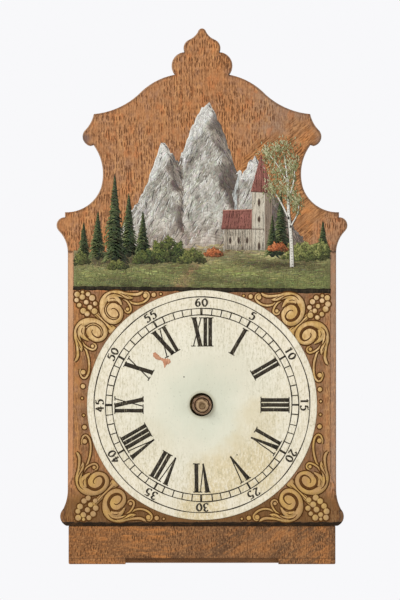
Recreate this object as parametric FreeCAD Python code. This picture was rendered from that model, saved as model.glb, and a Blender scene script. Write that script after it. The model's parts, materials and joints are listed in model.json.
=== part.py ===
# Black Forest wall clock: a painted wooden shield in front of a wooden movement case.
# Origin: centre of the hanging hole, on the wall plane. +X is to the right as seen from the
# front, +Y goes towards the wall, +Z is up. All sizes are in millimetres.
import FreeCAD
import Part
import math
import os

V = FreeCAD.Vector

# Places. Pieces are laid out by x, by depth behind the shield's front face, and by height
# above the dial's centre.
CLOCK_DEPTH = 112.0
DIAL_DROP = 138.0
FRONT_Y = -CLOCK_DEPTH
DIAL_Z = -DIAL_DROP

# Shield: thickness, edge breaks, and the right half of its sawn outline from the tip down.
# Each entry is the middle of an arc (None for a straight run) and the end of that stretch.
SHIELD_THICK = 11.0
SHIELD_EDGE_BREAK = 0.8
SHIELD_FOOT_BREAK = 2.4
WEDGE_ROOM = 0.1
SHIELD_FOOT_HEIGHT = -86.0
SHIELD_EAR_NECK = -73.5
SHIELD_HALF = 95.4
SHIELD_TIP = (0.0, 267.7)
SHIELD_OUTLINE = (
    ((1.9, 266.9), (2.9, 265.2)),
    ((5.4, 262.0), (9.2, 259.6)),
    ((12.8, 255.6), (12.5, 250.8)),
    ((21.5, 242.6), (19.3, 234.8)),
    ((33.2, 229.9), (45.5, 220.4)),
    ((60.4, 210.9), (76.9, 206.8)),
    ((78.8, 201.3), (82.6, 195.8)),
    ((84.7, 189.2), (79.3, 184.2)),
    (None, (77.2, 184.9)),
    ((70.4, 164.4), (71.9, 154.0)),
    ((85.2, 139.5), (97.4, 137.0)),
    (None, (97.4, 133.4)),
    ((102.7, 130.4), (101.6, 123.6)),
    ((97.2, 117.0), (SHIELD_HALF, 109.5)),
    (None, (SHIELD_HALF, -60.0)),
    ((96.3, -67.6), (98.8, -74.2)),
    ((100.6, -81.2), (96.4, SHIELD_FOOT_HEIGHT)),
)
CHAMFER_WIDTH = 4.0
CHAMFER_DEPTH = 3.0
CHAMFER_TOP = 109.0
CHAMFER_FOOT = -50.0
CHAMFER_RUN_OUT = 9.0
RUN_OUT_SHARE = 0.22

# Dial: a thin chalk ground on the shield, and the hole sawn a little off the hand arbor.
DIAL_RADIUS = 81.7
DIAL_GROUND = 0.5
DIAL_HOLE_RADIUS = 8.35
DIAL_HOLE_SHIFT = (-0.45, 0.25)

# Plinth board below the shield, with a low cut between its two feet.
PLINTH_HALF = 94.9
PLINTH_SET_BACK = 2.5
PLINTH_FOOT = -113.3
PLINTH_CUT_HALF = 54.4
PLINTH_CUT_TOP = -109.2

# Case: top, bottom and back boards, side doors between them.
BOARD_THICK = 9.0
BOARD_BREAK = 0.7
CASE_TOP = 128.0
CASE_FOOT = -112.7
BACK_THICK = 6.0
BACK_FRONT = CLOCK_DEPTH - BACK_THICK
TOP_UNDERSIDE = CASE_TOP - BOARD_THICK
FLOOR_HEIGHT = CASE_FOOT + BOARD_THICK
TOP_MID = CASE_TOP - BOARD_THICK / 2
FOOT_MID = CASE_FOOT + BOARD_THICK / 2

DOOR_THICK = 6.0
DOOR_GAP = 0.5
DOOR_FRONT_GAP = 0.8
DOOR_REAR_GAP = 0.6
DOOR_PIN_RADIUS = 1.2
DOOR_PIN_PLAY = 0.05
DOOR_PIN_IN_DOOR = 8.0
DOOR_PIN_IN_BOARD = 6.0
DOOR_PIVOT_X = PLINTH_HALF - DOOR_THICK / 2
DOOR_PIVOT_DEPTH = BACK_FRONT - DOOR_REAR_GAP - DOOR_THICK / 2
FINGER_HOLE_RADIUS = 7.0
FINGER_HOLE_DEPTH = 24.0
FINGER_HOLE_HEIGHT = 8.0

# Holes in the bottom board for the driving chain and the pendulum rod.
CHAIN_SLOT_X = 10.5
CHAIN_SLOT_HALF = 5.0
CHAIN_SLOT_DEPTHS = (40.5, 54.5)
PENDULUM_SLOT_HALF = 42.0
PENDULUM_SLOT_DEPTHS = (95.0, 104.5)

# Movement plates, tenoned into the top and bottom boards.
PLATE_HALF = 34.0
FRONT_PLATE = (31.0, 39.0)
BACK_PLATE = (85.0, 93.0)
TENON_HALF = 12.0
TENON_LENGTH = 6.0
TENON_SHOULDER = 1.0

# Cross pieces behind the front boards, dowels and screws.
CLEAT_HALF = 80.0
CLEAT_HEIGHTS = (-100.0, -72.0)
CLEAT_THICK = 8.0
BATTEN_HALF = 58.0
BATTEN_HEIGHTS = (157.0, 175.0)
DOWEL_RADIUS = 3.0
DOWEL_IN_FRONT_BOARD = 6.0
DOWEL_LENGTH = 20.0
DOWEL_TOP_X = 60.0
DOWEL_FOOT_X = 74.0
SCREW_RADIUS = 1.5
SCREW_HEAD_RADIUS = 3.0
SCREW_POINT = 3.0
SCREW_SLOT = 0.7
SCREW_SLOT_DEPTH = 0.8
SCREW_COVER = 2.0
CLEAT_SCREW_X = 62.0
CLEAT_SCREW_HEIGHTS = (-94.0, -78.0)
BATTEN_SCREW_X = 44.0
BACK_SCREW_X = 74.0
BACK_SCREW_INNER_X = 50.0
BACK_SCREW_LENGTH = 20.0
OVERRUN = 1.0

# Hanging plate, let into the back board.
HANGER_HALF = 12.0
HANGER_THICK = 2.0
HANGER_FOOT = 97.0
HANGER_HOLE_RADIUS = 4.0
HANGER_SCREW_X = 7.0
HANGER_SCREW_LENGTH = 18.0
HANGER_TACK_HEIGHT = 103.0
HANGER_TACK_LENGTH = 5.6

# Going train on the centre line: heights of the arbors, tooth counts and modules.
WHEEL_TEETH = 78
PINION_TRUNDLES = 8
GREAT_MODULE = 0.8
SECOND_MODULE = 0.7
GREAT_HEIGHT = 0.0
SECOND_HEIGHT = GREAT_HEIGHT + GREAT_MODULE * (WHEEL_TEETH + PINION_TRUNDLES) / 2
ESCAPE_HEIGHT = SECOND_HEIGHT + SECOND_MODULE * (WHEEL_TEETH + PINION_TRUNDLES) / 2
ESCAPE_TEETH = 30
ESCAPE_RADIUS = 16.0
ANCHOR_RISE = 25.4
ANCHOR_HEIGHT = ESCAPE_HEIGHT + ANCHOR_RISE
SPOKES = 4
SPOKE_WIDTH = 4.6
RIM_WIDTH = 3.2
GREAT_HUB = 8.0
SECOND_HUB = 6.5
ESCAPE_HUB = 4.6
ESCAPE_TOOTH = 3.2
ESCAPE_RIM_WIDTH = 2.2
ESCAPE_TOOTH_SHARES = (0.58, 0.64, 0.72)
MINUTE_WHEEL_HUB = 5.6
HOUR_WHEEL_HUB = 10.0

# Tooth of a wheel that drives a lantern pinion, in modules: half width and height of its rows.
LANTERN_HALF_WIDTH = 0.62
LANTERN_PIN = 0.63
LANTERN_ADDENDUM = 1.1
LANTERN_ROOT_ROOM = 0.35

# Motion work: involute teeth, thinned for backlash, all of one module.
MOTION_MODULE = 0.8
CANNON_TEETH = 15
MINUTE_WHEEL_TEETH = 45
MINUTE_PINION_TEETH = 12
HOUR_WHEEL_TEETH = 48
MOTION_DROP = MOTION_MODULE * (CANNON_TEETH + MINUTE_WHEEL_TEETH) / 2
PRESSURE_ANGLE = math.radians(20.0)
MOTION_ADDENDUM = 0.85
MOTION_DEDENDUM = 1.15
MOTION_TOOTH_SHARE = 0.42
FLANK_POINTS = 4

# Depths of the pieces on the arbors.
SPROCKET = (43.0, 52.0)
RATCHET = (52.6, 54.6)
GREAT_WHEEL = (58.0, 60.2)
SECOND_LANTERN = (55.5, 63.0)
SECOND_WHEEL = (71.0, 73.0)
ESCAPE_LANTERN = (68.0, 76.0)
ESCAPE_WHEEL = (54.0, 55.6)
ANCHOR_STEEL = (53.6, 56.0)
CANNON_PINION = (24.0, 29.0)
MINUTE_WHEEL = (25.5, 27.5)
MINUTE_PINION = (13.2, 19.2)
HOUR_WHEEL = (15.0, 17.0)
SHROUD_THICK = 1.5
RUNNING_PLAY = 0.05
COLLAR = (11.6, 12.7)
COLLAR_RADIUS = 2.8
POST_FRONT = 11.4
POST_SHOULDER = 2.5
POST_SHOULDER_RADIUS = 2.6
POST_IN_PLATE = 6.0
MINUTE_HUB_RADIUS = 3.2
MINUTE_HUB_OVERHANG = 0.5

# Brass collets behind the wheels: radius and length.
GREAT_COLLET = (5.5, 5.0)
SECOND_COLLET = (4.2, 4.0)
ESCAPE_COLLET = (3.4, 4.0)

# Noses of the hand pipes, in front of the dial.
HOUR_PIPE_RADIUS = 7.0
HOUR_SEAT_RADIUS = 6.6
HOUR_PIPE_BORE = 4.8
HOUR_SHOULDER = -0.8
HOUR_NOSE = -4.3
HOUR_PIPE_REAR = 22.0
MINUTE_PIPE_RADIUS = 4.74
MINUTE_SEAT_RADIUS = 4.2
MINUTE_SHOULDER = -5.0
MINUTE_NOSE = -8.5
ARBOR_NOSE = -11.0
SEAT_BREAK = 0.4
BORE_BREAK = 0.7
WASHER_RADIUS = 6.0
WASHER_THICK = 0.6
WASHER_GAP = 0.2
HAND_ARBOR_RADIUS = 2.0

# Turned radii of the arbors.
GREAT_ARBOR_RADIUS = 3.0
SECOND_ARBOR_RADIUS = 1.5
ESCAPE_ARBOR_RADIUS = 1.3
ANCHOR_ARBOR_RADIUS = 1.5
PIVOT_RADIUS = 1.0
PLATE_FREEDOM = 1.0
PIVOT_STOP = 0.5
BUSH_RADIUS = 3.5
HAND_BUSH_RADIUS = 5.0
FIT = 0.02

# Winding sprocket, ratchet and its springy click.
SPROCKET_CORE = 8.5
SPROCKET_FLANGE = 12.5
SPROCKET_FLANGE_THICK = 1.2
SPROCKET_SPIKES = 8
SPIKE_HEIGHT = 3.2
SPIKE_RADII = (1.5, 0.5)
SPIKE_ROOT = 0.5
SPROCKET_HUB = 6.0
RATCHET_TEETH = 12
RATCHET_TIP = 13.0
RATCHET_ROOT = 11.0
RATCHET_SHARES = (0.86, 0.9, 0.96)
CLICK_RIVET_RADIUS = 20.0
CLICK_REACH = 13.3
CLICK_STRIP = 1.2
CLICK_TIP_ANGLE = math.radians(42.0)
CLICK_EYE = 2.6
CLICK_BOSS = 2.2
CLICK_RIVET = 1.4
CLICK_RIVET_HEAD = 0.6
CLICK_INNER_ROOT = (18.4, 1.2)
CLICK_INNER_MIDDLE = (15.6, 7.2)
CLICK_OUTER_ROOT = (20.2, 2.0)
CLICK_OUTER_MIDDLE = (17.0, 8.0)

# Anchor, crutch and pendulum hook.
ANCHOR_INNER = 17.4
ANCHOR_OUTER = 20.2
ANCHOR_SPAN = math.radians(55.0)
PALLET_REACH = math.radians(5.0)
ANCHOR_HUB = 4.2
ANCHOR_NECK_HALF = 2.4
CRUTCH_DEPTH = 97.0
CRUTCH_FOOT = 31.0
CRUTCH_WIRE = 0.9
CRUTCH_FORK_HALF = 2.6
CRUTCH_FORK_END = 103.5
CRUTCH_HUB_RADIUS = 3.2
CRUTCH_HUB_HALF = 1.6
CRUTCH_ARBOR_END = 99.0
HOOK_HEIGHT = 106.0
HOOK_WIRE = 1.1
HOOK_END = 101.0
HOOK_UPTURN = 5.0
HOOK_IN_PLATE = 6.0


def point(x, depth, height):
    return V(x, FRONT_Y + depth, DIAL_Z + height)


def polar(centre_height, depth, radius, angle):
    # Angle runs clockwise from straight up, as seen from the front.
    return point(radius * math.sin(angle), depth, centre_height + radius * math.cos(angle))


def block(xs, depths, heights):
    corner = point(xs[0], depths[0], heights[0])
    return Part.makeBox(xs[1] - xs[0], depths[1] - depths[0], heights[1] - heights[0], corner)


def board(half_width, depths, heights):
    plain = block((-half_width, half_width), depths, heights)
    return plain.makeChamfer(BOARD_BREAK, plain.Edges)


def rod(x, height, depths, radius):
    return Part.makeCylinder(radius, depths[1] - depths[0], point(x, depths[0], height), V(0, 1, 0))


def lathe(x, height, profile):
    # Turns a closed profile of (radius, depth) points about a front-to-back axis.
    corners = [point(x + radius, depth, height) for radius, depth in profile]
    face = Part.Face(Part.makePolygon(corners + corners[:1]))
    return face.revolve(point(x, 0, height), V(0, 1, 0), 360)


def ring(height, depths, outer, inner):
    near, far = depths
    return lathe(0, height, [(inner, near), (outer, near), (outer, far), (inner, far)])


def slab(wires, depths):
    face = Part.makeFace(wires, "Part::FaceMakerBullseye")
    return face.extrude(V(0, depths[1] - depths[0], 0))


def circle(x, height, depth, radius):
    return Part.Wire(Part.makeCircle(radius, point(x, depth, height), V(0, 1, 0)))


def arc_edge(start, middle, end):
    return Part.Arc(start, middle, end).toShape()


def line_edge(start, end):
    return Part.LineSegment(start, end).toShape()


# Sawn outline

def half_outline(side, depth):
    # Edges of one half of the shield, from the tip to the foot; side is 1 or -1.
    edges = []
    here = point(side * SHIELD_TIP[0], depth, SHIELD_TIP[1])
    for middle, end in SHIELD_OUTLINE:
        there = point(side * end[0], depth, end[1])
        if middle is None:
            edges.append(line_edge(here, there))
        else:
            edges.append(arc_edge(here, point(side * middle[0], depth, middle[1]), there))
        here = there
    return edges, here


def shield_blank():
    right, right_foot = half_outline(1, 0.0)
    left, left_foot = half_outline(-1, 0.0)
    outline = Part.Wire(right + [line_edge(right_foot, left_foot)] + left[::-1])
    return slab([outline], (0.0, SHIELD_THICK))


def edge_wedge(blank, edge, size):
    # The corner that a knife takes off one front edge: a triangle swept along a line or an arc.
    start, end = edge.Vertexes[0].Point, edge.Vertexes[1].Point
    half_way = (edge.FirstParameter + edge.LastParameter) / 2
    middle = edge.valueAt(half_way)
    outward = edge.tangentAt(half_way).cross(V(0, 1, 0))
    if not blank.isInside(middle - outward * size / 2 + V(0, size, 0), FIT, True):
        outward = outward * -1
    straight = edge.Curve.TypeId == "Part::GeomLine"
    if not straight:
        centre = edge.Curve.Center
        swelling = outward.dot(middle - centre) > 0
        outward = (start - centre).normalize() * (1 if swelling else -1)
    shape = [(-size - WEDGE_ROOM, -WEDGE_ROOM), (OVERRUN, -WEDGE_ROOM), (OVERRUN, size + OVERRUN)]
    corners = [start + outward * across + V(0, deep, 0) for across, deep in shape]
    face = Part.Face(Part.makePolygon(corners + corners[:1]))
    if straight:
        return face.extrude(end - start)
    turn = 2 * turn_between(start - centre, middle - centre)
    return face.revolve(centre, V(0, 1, 0), math.degrees(turn))


def turn_between(first, second):
    # Signed angle about +Y from one direction to another in the plane of the board.
    return math.atan2(first.z * second.x - first.x * second.z, first.z * second.z + first.x * second.x)


def edge_wedges(blank):
    # A small break all round the front, and a wide one along the foot that carries the black line.
    foot_limit = point(0, 0, SHIELD_EAR_NECK).z
    wedges = []
    for edge in blank.Edges:
        if edge.BoundBox.YMax < FRONT_Y + FIT:
            at_foot = edge.BoundBox.ZMax < foot_limit
            wedges.append(edge_wedge(blank, edge, SHIELD_FOOT_BREAK if at_foot else SHIELD_EDGE_BREAK))
    return wedges


def stopped_chamfer(side):
    # A wedge along the straight side that runs out to nothing near the foot.
    outer = SHIELD_HALF + OVERRUN
    deep = CHAMFER_DEPTH * (CHAMFER_WIDTH + OVERRUN) / CHAMFER_WIDTH
    inner = SHIELD_HALF - CHAMFER_WIDTH

    def triangle(height, share):
        run = (outer - inner) * share
        corners = [
            point(side * (outer - run), 0.0, height),
            point(side * outer, 0.0, height),
            point(side * outer, deep * share, height),
        ]
        return Part.makePolygon(corners + corners[:1])

    full = triangle(CHAMFER_FOOT, 1.0)
    straight = Part.makeLoft([triangle(CHAMFER_TOP, 1.0), full], True, True)
    run_out = Part.makeLoft([full, triangle(CHAMFER_FOOT - CHAMFER_RUN_OUT, RUN_OUT_SHARE)], True, True)
    return straight.fuse(run_out)


def dial_hole(depths):
    return rod(DIAL_HOLE_SHIFT[0], DIAL_HOLE_SHIFT[1], depths, DIAL_HOLE_RADIUS)


# Fasteners

def wood_screw(x, height, head_depth, length):
    # Driven from behind, point towards the front, countersunk flush with its seat.
    profile = [
        (0.0, head_depth),
        (SCREW_HEAD_RADIUS, head_depth),
        (SCREW_RADIUS, head_depth - SCREW_HEAD_RADIUS + SCREW_RADIUS),
        (SCREW_RADIUS, head_depth - length + SCREW_POINT),
        (0.0, head_depth - length),
    ]
    return lathe(x, height, profile)


def slotted(screws, head_depth):
    # The driver's slot across each head, after the screws have cut their own holes.
    cut = []
    for screw, x, height in screws:
        slot = block(
            (x - SCREW_HEAD_RADIUS, x + SCREW_HEAD_RADIUS),
            (head_depth - SCREW_SLOT_DEPTH, head_depth + OVERRUN),
            (height - SCREW_SLOT / 2, height + SCREW_SLOT / 2),
        )
        cut.append(screw.cut(slot))
    return Part.makeCompound(cut)


def screw_row(places, head_depth, length):
    return [(wood_screw(x, height, head_depth, length), x, height) for x, height in places]


def solids_of(screws):
    return [screw for screw, x, height in screws]


def dowel(x, height, front_board_depth):
    near = front_board_depth - DOWEL_IN_FRONT_BOARD
    return rod(x, height, (near, near + DOWEL_LENGTH), DOWEL_RADIUS)


# Toothed wheels

def toothed_wire(centre_height, depth, teeth, rows, phase):
    # Rows are (radius, half width) from root to tip; phase is the angle of the first tooth.
    corners = []
    for tooth in range(teeth):
        middle = phase + 2 * math.pi * tooth / teeth
        for radius, half in rows:
            corners.append(polar(centre_height, depth, radius, middle - half / radius))
        for radius, half in reversed(rows):
            corners.append(polar(centre_height, depth, radius, middle + half / radius))
    return Part.makePolygon(corners + corners[:1])


def saw_wire(centre_height, depth, teeth, root, tip, shares):
    # Leaning teeth: shares of a pitch at the tip's two corners and at the foot of its front.
    corners = []
    pitch = 2 * math.pi / teeth
    for tooth in range(teeth):
        start = tooth * pitch
        corners.append(polar(centre_height, depth, root, start))
        corners.append(polar(centre_height, depth, tip, start + shares[0] * pitch))
        corners.append(polar(centre_height, depth, tip, start + shares[1] * pitch))
        corners.append(polar(centre_height, depth, root, start + shares[2] * pitch))
    return Part.makePolygon(corners + corners[:1])


def lantern_rows(module, teeth):
    pitch_radius = module * teeth / 2
    half = LANTERN_HALF_WIDTH * module
    return [
        (pitch_radius - LANTERN_PIN * module - LANTERN_ROOT_ROOM, half + 0.05),
        (pitch_radius, half),
        (pitch_radius + 0.55 * LANTERN_ADDENDUM * module, 0.72 * half),
        (pitch_radius + LANTERN_ADDENDUM * module, 0.25 * half),
    ]


def involute(angle):
    return math.tan(angle) - angle


def involute_rows(teeth):
    pitch_radius = MOTION_MODULE * teeth / 2
    base = pitch_radius * math.cos(PRESSURE_ANGLE)
    root = pitch_radius - MOTION_DEDENDUM * MOTION_MODULE
    tip = pitch_radius + MOTION_ADDENDUM * MOTION_MODULE
    low = max(base * 1.0005, root)
    half_angle = math.pi * MOTION_TOOTH_SHARE / teeth + involute(PRESSURE_ANGLE)
    rows = []
    for step in range(FLANK_POINTS):
        radius = low + (tip - low) * step / (FLANK_POINTS - 1)
        rows.append((radius, radius * (half_angle - involute(math.acos(base / radius)))))
    if root < base:
        rows.insert(0, (root, rows[0][1] * root / rows[0][0]))
    return rows


def spoke_windows(centre_height, depth, rim_radius, hub_radius):
    # The gaps between the spokes, each bounded by two arcs and two parallel spoke edges.
    half = SPOKE_WIDTH / 2
    inner_turn = math.asin(half / hub_radius)
    outer_turn = math.asin(half / rim_radius)
    step = 2 * math.pi / SPOKES
    windows = []
    for spoke in range(SPOKES):
        first = spoke * step
        last = first + step
        middle = first + step / 2
        inner_first = polar(centre_height, depth, hub_radius, first + inner_turn)
        inner_last = polar(centre_height, depth, hub_radius, last - inner_turn)
        outer_first = polar(centre_height, depth, rim_radius, first + outer_turn)
        outer_last = polar(centre_height, depth, rim_radius, last - outer_turn)
        windows.append(Part.Wire([
            arc_edge(inner_first, polar(centre_height, depth, hub_radius, middle), inner_last),
            line_edge(inner_last, outer_last),
            arc_edge(outer_last, polar(centre_height, depth, rim_radius, middle), outer_first),
            line_edge(outer_first, inner_first),
        ]))
    return windows


def crossed_wheel(centre_height, depths, outline, root, hub_radius, bore):
    windows = spoke_windows(centre_height, depths[0], root - RIM_WIDTH, hub_radius)
    hole = circle(0, centre_height, depths[0], bore)
    return slab([outline] + windows + [hole], depths)


def train_wheel(centre_height, depths, module, hub_radius, bore):
    rows = lantern_rows(module, WHEEL_TEETH)
    gap_up = math.pi / WHEEL_TEETH
    outline = toothed_wire(centre_height, depths[0], WHEEL_TEETH, rows, gap_up)
    return crossed_wheel(centre_height, depths, outline, rows[0][0], hub_radius, bore)


def lantern_pinion(centre_height, depths, module, arbor_radius):
    # Two brass shrouds and the steel trundles between them, one trundle straight down.
    pin_circle = module * PINION_TRUNDLES / 2
    pin_radius = LANTERN_PIN * module
    pins = []
    for trundle in range(PINION_TRUNDLES):
        angle = math.pi + 2 * math.pi * trundle / PINION_TRUNDLES
        base = polar(centre_height, depths[0], pin_circle, angle)
        pins.append(Part.makeCylinder(pin_radius, depths[1] - depths[0], base, V(0, 1, 0)))
    shroud_radius = pin_circle + pin_radius + module
    near = (depths[0], depths[0] + SHROUD_THICK)
    far = (depths[1] - SHROUD_THICK, depths[1])
    shrouds = []
    for span in (near, far):
        shrouds.append(ring(centre_height, span, shroud_radius, arbor_radius + FIT).cut(pins))
    return Part.makeCompound(shrouds), Part.makeCompound(pins)


# Case and front

def front_boards():
    blank = shield_blank()
    chamfers = [stopped_chamfer(1), stopped_chamfer(-1)]
    shield = blank.cut(edge_wedges(blank)).cut(chamfers + [dial_hole((-OVERRUN, SHIELD_THICK + OVERRUN))])
    dial = rod(0, 0, (-DIAL_GROUND, 0.0), DIAL_RADIUS).cut(dial_hole((-OVERRUN, OVERRUN)))
    plinth = board(PLINTH_HALF, (PLINTH_SET_BACK, SHIELD_THICK), (PLINTH_FOOT, SHIELD_FOOT_HEIGHT))
    cut_heights = (PLINTH_FOOT - OVERRUN, PLINTH_CUT_TOP)
    cut = block((-PLINTH_CUT_HALF, PLINTH_CUT_HALF), (0.0, SHIELD_THICK + OVERRUN), cut_heights)
    cleat_depths = (SHIELD_THICK, SHIELD_THICK + CLEAT_THICK)
    cleat = board(CLEAT_HALF, cleat_depths, CLEAT_HEIGHTS)
    batten = board(BATTEN_HALF, cleat_depths, BATTEN_HEIGHTS)
    cleat_places = [(side * CLEAT_SCREW_X, height) for side in (-1, 1) for height in CLEAT_SCREW_HEIGHTS]
    batten_places = [(step * BATTEN_SCREW_X, sum(BATTEN_HEIGHTS) / 2) for step in (-1, 0, 1)]
    screw_length = CLEAT_THICK + SHIELD_THICK - PLINTH_SET_BACK - SCREW_COVER
    cleat_screws = screw_row(cleat_places, cleat_depths[1], screw_length)
    batten_screws = screw_row(batten_places, cleat_depths[1], screw_length)
    top_dowels = [dowel(side * DOWEL_TOP_X, TOP_MID, SHIELD_THICK) for side in (-1, 1)]
    foot_dowels = [dowel(side * DOWEL_FOOT_X, FOOT_MID, SHIELD_THICK) for side in (-1, 1)]
    return {
        "shield_board": shield.cut(solids_of(cleat_screws) + solids_of(batten_screws) + top_dowels),
        "dial_face": dial,
        "plinth_board": plinth.cut([cut] + solids_of(cleat_screws) + foot_dowels),
        "front_cleat": cleat.cut(solids_of(cleat_screws)),
        "cleat_screws": slotted(cleat_screws, cleat_depths[1]),
        "pediment_batten": batten.cut(solids_of(batten_screws)),
        "batten_screws": slotted(batten_screws, cleat_depths[1]),
        "case_dowels": Part.makeCompound(top_dowels + foot_dowels),
    }, top_dowels, foot_dowels


def plate(depths):
    body = board(PLATE_HALF, depths, (FLOOR_HEIGHT, TOP_UNDERSIDE))
    inset = (depths[0] + TENON_SHOULDER, depths[1] - TENON_SHOULDER)
    tenon_heights = (FLOOR_HEIGHT - TENON_LENGTH, TOP_UNDERSIDE + TENON_LENGTH)
    tenon = block((-TENON_HALF, TENON_HALF), inset, tenon_heights)
    return body.fuse(tenon).removeSplitter()


def door_pin(side, top):
    edge = TOP_UNDERSIDE - DOOR_GAP if top else FLOOR_HEIGHT + DOOR_GAP
    inward = -DOOR_PIN_IN_DOOR if top else DOOR_PIN_IN_DOOR
    outward = DOOR_PIN_IN_BOARD + DOOR_GAP if top else -DOOR_PIN_IN_BOARD - DOOR_GAP
    low = min(edge + inward, edge + outward)
    base = point(side * DOOR_PIVOT_X, DOOR_PIVOT_DEPTH, low)
    return Part.makeCylinder(DOOR_PIN_RADIUS, abs(outward - inward), base, V(0, 0, 1))


def door_socket(side, heights):
    base = point(side * DOOR_PIVOT_X, DOOR_PIVOT_DEPTH, heights[0])
    return Part.makeCylinder(DOOR_PIN_RADIUS + DOOR_PIN_PLAY, heights[1] - heights[0], base, V(0, 0, 1))


def door(side):
    # A flat leaf whose rear edge is rounded about its wire pins, with a finger hole near the front.
    xs = sorted((side * PLINTH_HALF, side * (PLINTH_HALF - DOOR_THICK)))
    heights = (FLOOR_HEIGHT + DOOR_GAP, TOP_UNDERSIDE - DOOR_GAP)
    leaf = block(xs, (SHIELD_THICK + DOOR_FRONT_GAP, DOOR_PIVOT_DEPTH), heights)
    nose_base = point(side * DOOR_PIVOT_X, DOOR_PIVOT_DEPTH, heights[0])
    nose = Part.makeCylinder(DOOR_THICK / 2, heights[1] - heights[0], nose_base, V(0, 0, 1))
    leaf = leaf.fuse(nose).removeSplitter()
    finger = Part.makeCylinder(
        FINGER_HOLE_RADIUS,
        DOOR_THICK + 2 * OVERRUN,
        point(xs[0] - OVERRUN, FINGER_HOLE_DEPTH, FINGER_HOLE_HEIGHT),
        V(1, 0, 0),
    )
    pins = [door_pin(side, True), door_pin(side, False)]
    return leaf.cut([finger] + pins), Part.makeCompound(pins)


def hanger_outline(depth):
    shoulder_left = point(-HANGER_HALF, depth, DIAL_DROP)
    shoulder_right = point(HANGER_HALF, depth, DIAL_DROP)
    foot_left = point(-HANGER_HALF, depth, HANGER_FOOT)
    foot_right = point(HANGER_HALF, depth, HANGER_FOOT)
    return Part.Wire([
        arc_edge(shoulder_left, point(0, depth, DIAL_DROP + HANGER_HALF), shoulder_right),
        line_edge(shoulder_right, foot_right),
        line_edge(foot_right, foot_left),
        line_edge(foot_left, shoulder_left),
    ])


def case_boards(top_dowels, foot_dowels):
    depths = (SHIELD_THICK, BACK_FRONT)
    plates = [plate(FRONT_PLATE), plate(BACK_PLATE)]
    socket = DOOR_PIN_IN_BOARD + DOOR_GAP
    top_heights = (TOP_UNDERSIDE - OVERRUN, TOP_UNDERSIDE + socket)
    foot_heights = (FLOOR_HEIGHT - socket, FLOOR_HEIGHT + OVERRUN)
    sockets_top = [door_socket(side, top_heights) for side in (-1, 1)]
    sockets_foot = [door_socket(side, foot_heights) for side in (-1, 1)]
    through = (CASE_FOOT - OVERRUN, FLOOR_HEIGHT + OVERRUN)
    slots = [block((-PENDULUM_SLOT_HALF, PENDULUM_SLOT_HALF), PENDULUM_SLOT_DEPTHS, through)]
    back_places = []
    hanger_places = []
    for side in (-1, 1):
        xs = (side * CHAIN_SLOT_X - CHAIN_SLOT_HALF, side * CHAIN_SLOT_X + CHAIN_SLOT_HALF)
        slots.append(block(xs, CHAIN_SLOT_DEPTHS, through))
        back_places.append((side * BACK_SCREW_X, TOP_MID))
        back_places.append((side * BACK_SCREW_X, FOOT_MID))
        back_places.append((side * BACK_SCREW_INNER_X, FOOT_MID))
        hanger_places.append((side * HANGER_SCREW_X, TOP_MID))
    back_screws = screw_row(back_places, CLOCK_DEPTH, BACK_SCREW_LENGTH)
    hanger_screws = screw_row(hanger_places, CLOCK_DEPTH, HANGER_SCREW_LENGTH)
    hanger_screws += screw_row([(0.0, HANGER_TACK_HEIGHT)], CLOCK_DEPTH, HANGER_TACK_LENGTH)
    hanger_depths = (CLOCK_DEPTH - HANGER_THICK, CLOCK_DEPTH)
    hanging_hole = circle(0, DIAL_DROP, hanger_depths[0], HANGER_HOLE_RADIUS)
    hanger = slab([hanger_outline(hanger_depths[0]), hanging_hole], hanger_depths)
    recess_depths = (hanger_depths[0], CLOCK_DEPTH + OVERRUN)
    recess = block((-HANGER_HALF, HANGER_HALF), recess_depths, (HANGER_FOOT, CASE_TOP + OVERRUN))
    screws = solids_of(back_screws) + solids_of(hanger_screws)
    top = board(PLINTH_HALF, depths, (TOP_UNDERSIDE, CASE_TOP))
    bottom = board(PLINTH_HALF, depths, (CASE_FOOT, FLOOR_HEIGHT))
    back = board(PLINTH_HALF, (BACK_FRONT, CLOCK_DEPTH), (CASE_FOOT, CASE_TOP))
    return {
        "top_board": top.cut(plates + sockets_top + top_dowels + screws),
        "bottom_board": bottom.cut(plates + sockets_foot + slots + foot_dowels + screws),
        "back_board": back.cut([recess] + screws),
        "back_board_screws": slotted(back_screws, CLOCK_DEPTH),
        "hanger_plate": hanger.cut(solids_of(hanger_screws)),
        "hanger_screws": slotted(hanger_screws, CLOCK_DEPTH),
    }, plates


# Movement

def bush(height, depths, outer, pivot_radius):
    return ring(height, depths, outer - FIT, pivot_radius + RUNNING_PLAY)


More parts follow.
